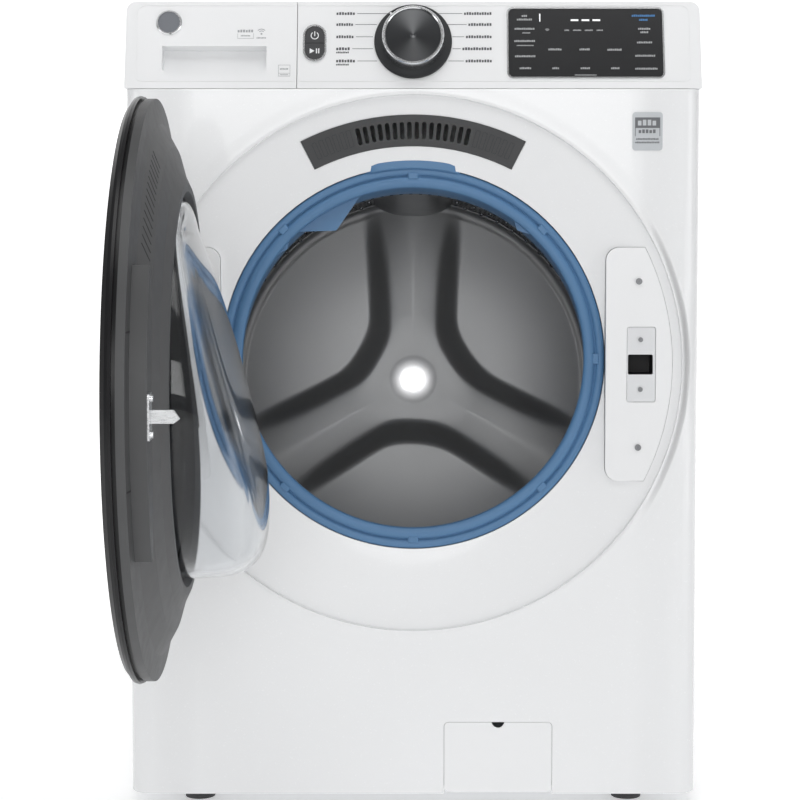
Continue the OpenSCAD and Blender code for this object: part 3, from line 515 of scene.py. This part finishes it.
def nozzle(right, tip, left, drop, w0, w1):
    """A wedge: its edge runs straight from the wall to a lower tip and back, and the depth w runs back."""
    right, tip, left = (math.radians(k) for k in (right, tip, left))
    spread = np.concatenate([np.linspace(right, tip, 13), np.linspace(tip, left, 13)[1:]])
    a, v = np.meshgrid(spread, np.linspace(0, 1, 9), indexing="ij")
    wall, low = 0.2165, 0.2165 - drop
    edge_r = np.where(a < tip, straight_edge(a, right, wall, tip, low),
                      straight_edge(a, tip, low, left, wall))
    inner = edge_r + (wall - edge_r) * 0.15 * v
    rings = np.stack([inner, np.full_like(inner, 0.2195)])
    points = on_seal(rings * np.cos(a), rings * np.sin(a), -(w0 + (w1 - w0) * v) + 0 * rings)
    n = a.size
    faces = np.concatenate([grid_faces(25, 9, flip=True), grid_faces(25, 9) + n])
    edge = np.concatenate([np.arange(9), np.arange(1, 25) * 9 + 8, 24 * 9 + np.arange(7, -1, -1),
                           np.arange(23, 0, -1) * 9])
    after = np.roll(edge, -1)
    return points.reshape(-1, 3), np.concatenate([faces, np.stack([edge, after, after + n, edge + n], -1)])


nozzles = [nozzle(107, 121, 133, 0.030, 0.030, 0.052), nozzle(135, 139, 144, 0.008, 0.026, 0.045),
           nozzle(45, 51, 55, 0.010, 0.026, 0.045)]
show("seal_nozzles", *joined(nozzles), blue.material, "cabinet", "blue_rubber", smooth=False)

# %% [markdown]
# The drum is satin stainless steel. Its wall is full of small holes in staggered rows that let the water out.
# Drilling thousands of holes would cost millions of faces, so the wall is one smooth shell with its own UV
# map, one unit to each hole, and the holes are drawn by the material: near black, a painted shade for the gap
# seen through each, matt and pushed in by the bump.
# Between them stand rows of small round dimples, which are real bumps because they show from the side.

# %% The perforated drum wall
HOLE_PITCH = 0.0152
WALL_R = 0.268


def perforated(name, colour, rough):
    """Distance to the nearest point of a staggered grid: two square grids, the second moved half a step."""
    f = Finish(name, colour, rough)
    u, v, _ = f.axes(f.node("ShaderNodeTexCoord", {}, {}, "UV"))
    near = None
    for shift in (0.0, 0.5):
        du = (u + shift).math("FRACT", u + shift) - 0.5
        dv = (v + shift).math("FRACT", v + shift) - 0.5
        d = du.math("SQRT", du * du + dv * dv * 1.0)
        near = d if near is None else near.math("MINIMUM", near, d)
    solid = near.step(0.15, 0.20)
    lines = f.noise(500, 3, (1, 0.05, 0.05))
    steel = f.mix(lines, shade(colour, 0.88), shade(colour, 1.12))
    # painted shade: inside each hole the colour is near black, the dark seen through the opening
    f.set("Base Color", f.mix(solid, (0.006, 0.006, 0.007), steel))
    f.set("Metallic", solid * 0.6)
    f.set("Roughness", lines * 0.12 + (1 - solid) * 0.3 + rough)
    return f.bump(near.step(0.13, 0.26), 0.5, 0.0012).material


drum_wall_finish = perforated("perforated_drum_steel", (0.365, 0.368, 0.375), 0.34)
WALL_LOOP = np.array([(0.2245, 0.1225), (0.228, 0.1205), (0.246, 0.1255), (0.259, 0.1305), (0.2690, 0.1440),
                      (0.2690, 0.5348), (0.2680, 0.5348), (0.2680, 0.3400), (0.2680, 0.1450), (0.258, 0.1315),
                      (0.246, 0.1268), (0.226, 0.1235)])


def drum_wall(turns=160):
    """Each loop point goes round the drum's axis at its own radius and depth."""
    a = np.linspace(0, 2 * math.pi, turns + 1)[:, None]
    r, back = WALL_LOOP[None, :, 0], WALL_LOOP[None, :, 1]
    points = in_tub(r * np.cos(a), r * np.sin(a), back + 0 * a)
    uv = np.stack(np.broadcast_arrays(a * round(WALL_R * 2 * math.pi / HOLE_PITCH) / (2 * math.pi),
                                      back / HOLE_PITCH), -1)
    return points, uv


wall_points, wall_uv = drum_wall()
wall = show("drum_wall", wall_points, grid_faces(161, len(WALL_LOOP), False, True, flip=True),
            drum_wall_finish,
            "drum", "drum_steel", ["drum_shell"], uv=wall_uv)

DIMPLES_AROUND, DIMPLE_ROWS = 64, 9


def dimples():
    """Half balls of 3.2 mm on the wall: ring point = r - h cos(t), spread by h sin(t), in staggered rows."""
    t = np.linspace(0.5 * math.pi, 0, 4)[:, None]
    q = np.linspace(0, 2 * math.pi, 8, endpoint=False)[None, :]
    lift, out = 0.0032 * np.cos(t) + 0 * q, 0.0032 * np.sin(t)
    one = grid_faces(4, 8, False, True)
    parts = []
    for row in range(DIMPLE_ROWS):
        for k in range(DIMPLES_AROUND):
            a = 2 * math.pi * (k + 0.5 * (row % 2)) / DIMPLES_AROUND
            w = 0.19 + 0.038 * row
            turn = a + out * np.cos(q) / WALL_R
            r = WALL_R - lift
            parts.append((in_tub(r * np.cos(turn), r * np.sin(turn), w + out * np.sin(q)), one))
    return joined(parts)


dimple_finish = brushed("dimple_steel", (0.34, 0.345, 0.35), 0.22, (1, 1, 1), vary=0.05)
show("drum_dimples", *dimples(), dimple_finish, "drum", "drum_steel", closed=False)

# %% [markdown]
# The drum's back is one deep pressing: three broad arms run from the hub to the rim, and the panels between
# them are dished. It is a height map. For each point, the distance outside each arm's flat top is found, and
# a smooth minimum joins the three, which gives the wide rounded corners where the arms meet.

# %% The pressed drum back
ARM_ANGLES = tuple(math.radians(k) for k in (90, 210, 330))


def smooth_minimum(a, b, width):
    """min(a, b), rounded off by up to a quarter of the width where the two are close."""
    h = np.clip(0.5 + 0.5 * (b - a) / width, 0, 1)
    return b + (a - b) * h - width * h * (1 - h)


def beside_arms(x, z):
    """Distance outside the arms' tops: |across| - half-width, which grows from 32 mm to 45 mm at the rim."""
    gap = None
    for angle in ARM_ANGLES:
        c, s = math.cos(angle), math.sin(angle)
        along, across = x * c + z * s, x * s - z * c
        half = 0.0315 + 0.0135 * np.clip((along - 0.09) / 0.17, 0, 1) ** 1.6
        d = np.hypot(np.minimum(along, 0), across) - half
        gap = d if gap is None else smooth_minimum(gap, d, 0.052)
    return gap


def back_depth(x, z):
    """Back plane, less the raised arms, the dished panels' rise to the rim and the corner at the wall."""
    r = np.hypot(x, z)
    gap = beside_arms(x, z)
    fall = 0.5 + 0.5 * np.cos(math.pi * np.clip(gap / 0.036, 0, 1))
    crown = 0.0035 * np.clip(-gap / 0.035, 0, 1) ** 0.8 * np.clip((r - 0.045) / 0.05, 0, 1)
    dish = 0.024 * np.clip((r - 0.09) / 0.16, 0, 1) ** 2 * (1 - fall)
    corner = 0.014 - np.sqrt(np.clip(0.014 ** 2 - np.clip(r - 0.254, 0, 0.014) ** 2, 0, None))
    hub = 0.0022 * np.clip(1 - (r / 0.036) ** 2, 0, 1)
    return 0.5340 - 0.030 * fall - crown - dish - hub - corner


def drum_back(rings=130, turns=240):
    """Rings run from the hub's middle to the wall, closer together near the middle."""
    r = (np.linspace(0, 1, rings) ** 1.05)[:, None] * 0.2678
    a = np.linspace(0, 2 * math.pi, turns, endpoint=False)[None, :]
    x, z = r * np.cos(a), r * np.sin(a)
    front = in_tub(x, z, back_depth(x, z))
    rear = in_tub(x[::-1], z[::-1], np.full_like(x, 0.5375))
    return np.concatenate([front, rear])


def drum_axes(f):
    """Sideways, and up square to the drum's axis, from any place inside the drum."""
    x, y, z = f.axes()
    c, s = math.cos(DRUM_TILT), math.sin(DRUM_TILT)
    return x, (y - (FRONT_Y + 0.02)) * s + (z - SEAL_Z) * c


def pressed_steel():
    """Satin steel with faint drawn lines, and a pale round patch at the hub's middle: a painted highlight for
    the front lamp's reflection, where the steel is also smoother.
    """
    f = Finish("pressed_drum_steel", (0.2, 0.205, 0.21), 0.4)
    x, up = drum_axes(f)
    cloud = f.noise(6, 3)
    lines = f.noise(700, 3, (1, 0.04, 1))
    steel = f.mix(cloud * 0.7 + lines * 0.3, (0.325, 0.328, 0.332), (0.410, 0.413, 0.418))
    # painted highlight: the base colour turns pale at the hub's middle, in place of a reflected lamp
    hub_highlight = 1.0 - x.math("SQRT", x * x + up * up).step(0.008, 0.040)
    f.set("Base Color", f.mix(hub_highlight, steel, (0.62, 0.62, 0.63)))
    f.set("Metallic", hub_highlight * 0.4 + 0.6)
    f.set("Roughness", lines * 0.10 + 0.38 - hub_highlight * 0.22)
    return f.bump(lines, 0.05, 0.0002).material


pressed = pressed_steel()
back_points = drum_back()
show("drum_back_pressing", back_points, grid_faces(len(back_points), 240, False, True), pressed, "drum",
     "drum_back_steel", ["drum_back"])

# %% [markdown]
# Three lifters run along the wall in line with the arms. Each is a long smooth hump with rounded ends, which
# tumbles the clothes. The hump is a height over a strip of wall.

# %% Lifters
def lifter(angle):
    """Height = 24 mm * (1 - |across|^3) * a rounded end along, over an arc of the wall."""
    u, v = np.meshgrid(np.linspace(-1, 1, 41), np.linspace(-1, 1, 61), indexing="ij")
    height = 0.024 * (1 - np.abs(u) ** 3) * (1 - np.abs(v) ** 10) ** 0.5
    a = math.radians(angle) + u * 0.058 / WALL_R
    w = 0.355 + 0.170 * v
    low = np.full_like(u, WALL_R - 0.0004)
    r = np.stack([WALL_R - 0.0005 - np.nan_to_num(height), low + 0.0002])
    points = in_tub(r * np.cos(a), r * np.sin(a), w + 0 * r)
    n = u.size
    faces = np.concatenate([grid_faces(41, 61, flip=True), grid_faces(41, 61) + n])
    edge = np.concatenate([np.arange(61), np.arange(1, 41) * 61 + 60, 40 * 61 + np.arange(59, -1, -1),
                           np.arange(39, 0, -1) * 61])
    after = np.roll(edge, -1)
    return points.reshape(-1, 3), np.concatenate([faces, np.stack([edge, after, after + n, edge + n], -1)])


lifter_finish = moulded("lifter_steel", (0.33, 0.335, 0.342), 0.34, grain=900, depth=0.04, Metallic=0.85)
show("drum_lifters", *joined([lifter(k) for k in (90, 210, 330)]), lifter_finish, "drum", "lifter_plastic",
     ["lifters"])

# %% [markdown]
# The glass of the door is a deep bowl that pushes the clothes back into the drum. It is deeper at the bottom,
# so its face leans. One formula gives it: the radius follows a flattened cosine and the depth a flattened
# sine, which squares off the corner, and the depth is scaled by how low the point is.

# %% The glass bowl
GLASS_MOUTH = 0.2045


def bowl_skin(inset, rows=56, turns=128):
    """r = R cos(p)^0.36, depth = D(z) sin(p)^0.52, where D grows from the top of the bowl to its bottom."""
    p = np.linspace(0, math.pi / 2, rows)[:, None]
    a = np.linspace(0, 2 * math.pi, turns, endpoint=False)[None, :]
    r = (GLASS_MOUTH - inset) * np.cos(p).clip(0) ** 0.36
    x, z = r * np.cos(a), r * np.sin(a)
    deep = 0.066 - 0.27 * z - 0.10 * np.maximum(-z - 0.10, 0)
    depth = (np.maximum(deep, 0.02) - inset * 1.1) * np.sin(p) ** 0.52
    return x, z, -depth + 0 * x


def bowl():
    """Outer skin from its middle to the mouth, a rolled flange, then the inner skin back to its middle."""
    ox, oz, on = (v[::-1] for v in bowl_skin(0.0))
    ix, iz, inn = bowl_skin(0.0045)
    a = np.linspace(0, 2 * math.pi, 128, endpoint=False)[None, :]
    rim_r = np.array([GLASS_MOUTH, GLASS_MOUTH + 0.003, GLASS_MOUTH + 0.0042, GLASS_MOUTH + 0.0042,
                      GLASS_MOUTH - 0.0045])[:, None]
    rim_n = np.array([0.004, 0.006, 0.008, 0.0115, 0.0115])[:, None] + 0 * a
    x = np.concatenate([ox, rim_r * np.cos(a), ix])
    z = np.concatenate([oz, rim_r * np.sin(a), iz])
    out = np.concatenate([on, rim_n, inn])
    return on_door(x, z, out)


def clear_glass():
    """Very slightly blue clear glass. Its tint is set on the shader itself."""
    f = Finish("clear_bowl", (0.965, 0.978, 0.99), 0.015, Transmission_Weight=1.0, IOR=1.3)
    f.set("Roughness", f.noise(7, 2) * 0.03 + 0.03)
    return f.material


glass = clear_glass()
bowl_points = bowl()
show("door_bowl", bowl_points, grid_faces(*bowl_points.shape[:2], False, True), glass, "door", "clear_glass",
     ["door_glass"])

# %% [markdown]
# The console carries printed rows and thin leader lines from the cycle names to the knob. Words aren't
# drawn: each is a run of small blocks about as long as a word, which reads as print from a step away and
# says nothing. Every mark is a thin raised box, and all the marks of one colour go in one mesh.

# %% Printed marks
BOX_FACES = np.array([[3, 2, 1, 0], [4, 5, 6, 7], [0, 1, 5, 4], [1, 2, 6, 5], [2, 3, 7, 6], [3, 0, 4, 7]])


def plates(place, corners, base, top):
    """Corners is (n, 4, 2) in millimetres, anticlockwise; each becomes a closed plate from base to top."""
    flat = np.asarray(corners, float) / 1000
    levels = np.stack([np.full(flat.shape[:2], base), np.full(flat.shape[:2], top)], 1)
    x, u = (np.repeat(flat[:, None, :, k], 2, axis=1) for k in range(2))
    points = place(x, u, levels).reshape(-1, 3)
    faces = (BOX_FACES[None] + 8 * np.arange(len(flat))[:, None, None]).reshape(-1, 4)
    return points, faces


def bar(x0, x1, u0, u1):
    return np.array([[x0, u0], [x1, u0], [x1, u1], [x0, u1]], float)


def word(x0, length, middle, height):
    """Blocks at a letter's pitch, every third one a little lower, as capitals and small letters are."""
    pitch = height * 0.92
    count = max(1, round(length / pitch))
    step = length / count
    return [bar(x0 + k * step, x0 + (k + 0.72) * step, middle - height / 2,
                middle + height * (0.5 if k % 3 else 0.34)) for k in range(count)]


def stroke(x0, u0, x1, u1, width):
    """A bar from one point to another, turned to its own direction."""
    d = np.array([x1 - x0, u1 - u0], float)
    side = np.array([-d[1], d[0]]) / np.hypot(*d) * width / 2
    ends = np.array([(x0, u0), (x1, u1), (x1, u1), (x0, u0)], float)
    return ends + side * np.array([[-1], [-1], [1], [1]])


def arc(cx, cu, radius, start, end, width, count=14):
    """Short strokes round part of a circle, with angles in degrees."""
    t = np.radians(np.linspace(start, end, count + 1))
    x, u = cx + radius * np.cos(t), cu + radius * np.sin(t)
    return [stroke(x[k], u[k], x[k + 1], u[k + 1], width) for k in range(count)]


def show_marks(name, place, marks, heights, finish, body, slot):
    """All the marks of one colour as one mesh of flat-shaded plates between the two heights."""
    return show(name, *plates(place, marks, *heights), finish, body, slot, smooth=False)


CONSOLE_SKIN = (-0.0003, 0.00022)
rows = (97.4, 83.0, 67.0, 51.4, 35.5)
cycle_marks = []
for u, length, to_x in zip(rows, (23.6, 21.3, 22, 17.5, 24), (-31, -44.8, -49.6, -49.4, -44.2)):
    cycle_marks += word(-94.9, length, u, 3.5) + [bar(-94.9 + length + 2.2, to_x, u - 0.28, u + 0.28)]
for u, length, to_x in zip(rows, (34.7, 29.4, 32.5, 36.9, 33), (27.5, 41, 48.4, 48.6, 43)):
    cycle_marks += word(97.8 - length, length, u, 3.5) + [bar(to_x, 95.6 - length, u - 0.28, u + 0.28)]
cycle_marks += word(-94.9, 16, 46.6, 2.2) + word(-94.9, 16, 30.8, 2.2)
ink = moulded("printed_ink", (0.07, 0.073, 0.08), 0.5, vary=0.1)
show_marks("console_print", on_console, cycle_marks, CONSOLE_SKIN, ink, "cabinet", "key_grey")

# %% [markdown]
# The drawer has its own small marks: a tag, a wireless sign and a framed panel. They ride on the drawer so
# that they leave with it.

# %% Marks on the drawer
soft_ink = moulded("soft_ink", (0.36, 0.37, 0.385), 0.5, vary=0.1)
drawer_marks = word(-217, 20, 74.5, 3.4) + [bar(-217, -197, 64.6, 65.0), bar(-217, -216.6, 65, 71.5),
                                            bar(-197.4, -197, 65, 71.5)] + word(-213, 12, 68.4, 1.8)
drawer_marks += arc(-187.5, 70.8, 6.2, 45, 135, 0.9) + arc(-187.5, 70.8, 3.8, 45, 135, 0.9)
drawer_marks += arc(-187.5, 70.8, 0.7, 0, 360, 1.2, 8) + word(-193.5, 12, 65.6, 1.8)
drawer_marks += [bar(-166, -151.5, 15.6, 16), bar(-166, -151.5, 30, 30.4), bar(-166, -165.6, 16, 30),
                 bar(-151.9, -151.5, 16, 30), bar(-166, -151.5, 19.4, 19.8)]
drawer_marks += word(-164, 10.5, 25.2, 2) + word(-164, 10.5, 17.7, 1.2)
show_marks("drawer_print", on_console, drawer_marks, CONSOLE_SKIN, soft_ink, "drawer", "key_grey")

# %% [markdown]
# The two keys carry the usual signs: a ring with a bar for power, and a triangle with two bars for start and
# pause. They sit on the keys' own top faces and travel with them.

# %% Signs on the keys
white_ink = moulded("white_ink", (0.82, 0.83, 0.84), 0.4, vary=0.02, Emission_Strength=0.0)
KEY_TOP = (0.0016, 0.00205)
power_sign = arc(-121.5, 68.0, 4.5, 125, 415, 1.1, 30) + [bar(-122.05, -120.95, 67.2, 73.4)]
show_marks("power_sign", on_console, power_sign, KEY_TOP, white_ink, "power_key", "white_plastic")
triangle = np.array([[-127.6, 44.6], [-121.9, 47.9], [-121.9, 48.1], [-127.6, 51.4]])
start_sign = [triangle, bar(-119.9, -118.5, 44.8, 51.2), bar(-117.1, -115.7, 44.8, 51.2)]
show_marks("start_sign", on_console, start_sign, KEY_TOP, white_ink, "start_key", "white_plastic")

# %% [markdown]
# Behind the smoked window the display is idle: three plain dashes and a short rule, with rows of small keys
# round them. The lit bars give off a little light of their own. One entry in the right column is blue.

# %% The display
WINDOW_SKIN = (0.0008, 0.00125)
lit = [bar(x, x + 9.5, 87.2, 89.4) for x in (195, 208.5, 222)] + [bar(156.1, 157.5, 86.5, 96.8)]
lit_finish = moulded("lit_segments", (0.85, 0.87, 0.88), 0.4, vary=0.02, Emission_Color=(1, 1, 1, 1),
                     Emission_Strength=0.35)
show_marks("display_bars", on_console, lit, WINDOW_SKIN, lit_finish, "cabinet", "white_plastic")
entries = [(138, 93.9, 7, 2.4), (138, 89.2, 19, 2.4), (138, 77.1, 25, 2.4), (140, 71.7, 10, 1.4),
           (138, 61.1, 26, 2.4), (138.5, 55.3, 21, 1.4), (138.5, 41.3, 25.5, 2.4), (138.5, 25.8, 14.5, 2.4),
           (190.2, 75.2, 6, 1.7), (202.9, 75.2, 10.5, 1.7), (217.3, 75.2, 10, 1.7), (230.9, 75.2, 8, 1.7),
           (175.3, 50.2, 16.7, 2.5), (211.8, 50.2, 13, 2.5), (248.7, 49.8, 18, 2.5), (175.8, 25.8, 8.5, 2.4),
           (212.3, 25.8, 12, 2.4), (249.2, 25.8, 10.6, 2.4), (212.5, 17.0, 27, 1.3), (286, 77.1, 15.5, 2.4),
           (286, 72.6, 10, 2.4), (286, 59.3, 19, 2.4), (286.5, 42, 25, 2.4), (287.5, 25.2, 28, 2.4)]
labels = [b for x, u, length, h in entries for b in word(x - length / 2, length, u, h)]
labels += arc(165.8, 73.2, 3.6, 50, 130, 0.8) + arc(165.8, 73.2, 2.0, 50, 130, 0.8)
label_ink = moulded("window_print", (0.42, 0.43, 0.44), 0.4, vary=0.03)
show_marks("display_labels", on_console, labels, WINDOW_SKIN, label_ink, "cabinet", "white_plastic")
blue_ink = moulded("blue_print", (0.06, 0.22, 0.50), 0.4, vary=0.03)
blue_marks = word(270.8, 29, 94.2, 2.6) + word(279.8, 11, 88.8, 2.6)
show_marks("display_blue_labels", on_console, blue_marks, WINDOW_SKIN, blue_ink, "cabinet", "insert_blue")

# %% [markdown]
# A small white pointer on the knob's dark skirt shows the chosen cycle. It turns with the knob.

# %% The knob's pointer
KNOB_UP = 60.3
t = math.radians(127.5)
near, far = 41.0, 46.6
pointer = [stroke(near * math.cos(t), KNOB_UP + near * math.sin(t),
                  far * math.cos(t), KNOB_UP + far * math.sin(t), 2.2)]
show_marks("knob_pointer", on_console, pointer, (0.0030, 0.0046), white_ink, "knob", "white_plastic")

# %% [markdown]
# The small plate on the front panel has a frame and a few rows of plain marks, all of its own grey.

# %% Marks on the plaque
def on_plaque(x, z, out):
    """From the plaque's centre, with its face nine tenths of a millimetre in front of the panel."""
    return stack(0.2885 + x, FRONT_Y - 0.0009 - out, 0.8455 + z)


plaque_dark = moulded("plaque_print", (0.13, 0.135, 0.145), 0.45, vary=0.1)
marks = [bar(-15.5, 15.5, 4, 17), bar(-15.5, -14.7, -6, 4), bar(14.7, 15.5, -6, 4)]
marks += word(-14, 28, -9.4, 2.2) + word(-15, 30, -13.6, 2.2) + word(-11, 22, 0.0, 4.5)
show_marks("plaque_print", on_plaque, marks, (-0.0003, 0.0003), plaque_dark, "cabinet", "plaque_grey")
light_marks = word(-12, 24, 10.6, 7.0)
show_marks("plaque_relief", on_plaque, light_marks, (0.0001, 0.0006), plaque_grey, "cabinet", "plaque_grey")

# %% [markdown]
# Beyond the open slots the vent's face carries six blind ones on each side, drawn as fine dark outlines, a
# painted shade for their narrow grooves. The door's grey ring has two butt seams on its free side and a patch
# of slanting ribs above; the ribs are drawn as dark strokes, a painted shade between them.

# %% Lines on the vent and the door ring
def on_vent(x, z, out):
    """The vent's face slopes towards the drum: 12.6 mm deep at its inner edge and 6.6 mm at its outer."""
    r = np.hypot(x, z)
    return on_panel(x, z, -0.0126 + (r - 0.271) * 0.158 + out)


def on_ring(x, z, out):
    """The door ring's inner face, whose distance from the shut panel grows with its radius."""
    face = np.interp(np.hypot(x, z), (0.222, 0.237, 0.262, 0.286, 0.300, 0.313),
                     (-0.011, -0.004, 0.003, 0.016, 0.019, 0.021))
    return on_door(x, z, face - out)


def turned(corners, angle):
    c, s = math.cos(angle), math.sin(angle)
    return np.asarray(corners) @ np.array([[c, -s], [s, c]])


blind = []
for side in (-1, 1):
    for k in range(6):
        tilt = side * math.radians(15.6 + 1.72 * k)
        for piece in (bar(-2.9, -2.3, 280, 300), bar(2.3, 2.9, 280, 300), bar(-2.3, 2.3, 300, 300.6),
                      bar(-2.3, 2.3, 279.4, 280)):
            blind.append(turned(piece, tilt))
# painted shade: the grooves of the blind slots are drawn as dark outlines
blind_slot_shade = moulded("blind_slot_painted_shade", (0.028, 0.030, 0.033), 0.55)
show_marks("vent_blind_slots", on_vent, blind, (-0.0003, 0.0004), blind_slot_shade, "cabinet", "grille_grey")
seams = []
for z in (81.0, -70.0):
    reach = np.sqrt(np.array([266, 274, 282, 290, 300, 311]) ** 2 - z * z)
    seams += [bar(reach[k], reach[k + 1], z - 0.8, z + 0.8) for k in range(5)]
# painted shade: the slanting ribs are drawn as dark strokes; the two seams above are real dark joints
for k in range(15):
    start = math.radians(33 + 2.1 * k)
    end = start + math.radians(2.6)
    seams.append(stroke(267 * math.cos(start), 267 * math.sin(start),
                        281 * math.cos(end), 281 * math.sin(end), 1.1))
show_marks("door_ring_lines", on_ring, seams, (-0.0004, 0.0003), black_matte, "door", "door_grey")

# %% [markdown]
# The machine stands on a plain pale floor in soft light, as in a studio: a wide lamp above, one on each side,
# and a pale world that fills the shadows. The floor is a curved sweep, which isn't part of the object.

# %% Floor and light
def sweep():
    """A flat floor that turns up behind along a quarter circle, as wide as the view."""
    s = np.linspace(0, 1, 40)
    y = np.concatenate([np.linspace(-6, 3.0, 10), 3.0 + 1.5 * np.sin(s * math.pi / 2), np.full(6, 4.5)])
    z = np.concatenate([np.zeros(10), 1.5 - 1.5 * np.cos(s * math.pi / 2), np.linspace(1.6, 6, 6)])
    x = np.linspace(-6, 6, 3)[None, :]
    return stack(x + 0 * y[:, None], y[:, None] + 0 * x, z[:, None] - 0.0002 + 0 * x)


floor_finish = Finish("studio_floor", (0.93, 0.93, 0.935), 0.6, Emission_Strength=0.75)
behind = floor_finish.axes()[1].step(0.2, 1.4)
floor_finish.set("Emission Color", floor_finish.mix(behind, (0.50, 0.50, 0.50), (1, 1, 1)))
floor_drift = floor_finish.noise(1.2, 2)
floor_finish.set("Base Color", floor_finish.mix(floor_drift, (0.925, 0.925, 0.93), (0.935, 0.935, 0.94)))
points = sweep()
floor = show("studio_sweep", points, grid_faces(*points.shape[:2], flip=True), floor_finish.material,
             closed=False)


def lamp(name, place, aim, size, power):
    """A square soft lamp turned to face a point."""
    data = bpy.data.lights.new(name, "AREA")
    data.shape, data.size, data.size_y, data.energy = "RECTANGLE", size[0], size[1], power
    item = bpy.data.objects.new(name, data)
    bpy.context.scene.collection.objects.link(item)
    item.location = place
    item.rotation_euler = (Vector(aim) - Vector(place)).to_track_quat("-Z", "Y").to_euler()
    return item


lamp("top_light", (0, -1.5, 2.7), (0, -0.3, 0.5), (2.2, 1.2), 21)
lamp("left_light", (-2.6, -1.5, 0.8), (0, -0.3, 0.6), (0.9, 2.0), 11)
lamp("right_light", (2.6, -1.5, 0.8), (0, -0.3, 0.6), (0.9, 2.0), 11)
lamp("front_light", (0, -3.6, 1.2), (0, -0.2, 0.55), (1.3, 1.0), 19)
world = bpy.data.worlds.new("studio")
bpy.context.scene.world = world
world.use_nodes = True
world.node_tree.nodes["Background"].inputs["Color"].default_value = (1, 1, 1, 1)
world.node_tree.nodes["Background"].inputs["Strength"].default_value = 0.27
bpy.context.scene.view_settings.view_transform = "Standard"

# %% [markdown]
# The camera stands two and a half metres in front of the panel at chest height and looks slightly down, with
# a long lens, so the sides stay almost parallel.

# %% Camera
camera_data = bpy.data.cameras.new("view")
camera_data.lens, camera_data.sensor_width = 92.1, 36
camera_data.shift_x, camera_data.shift_y = -0.0164, -0.084
camera = bpy.data.objects.new("view", camera_data)
bpy.context.scene.collection.objects.link(camera)
camera.location = (0, FRONT_Y - 2.53, 0.765)
camera.rotation_euler = (math.radians(90 - 3.8), 0, 0)
bpy.context.scene.camera = camera
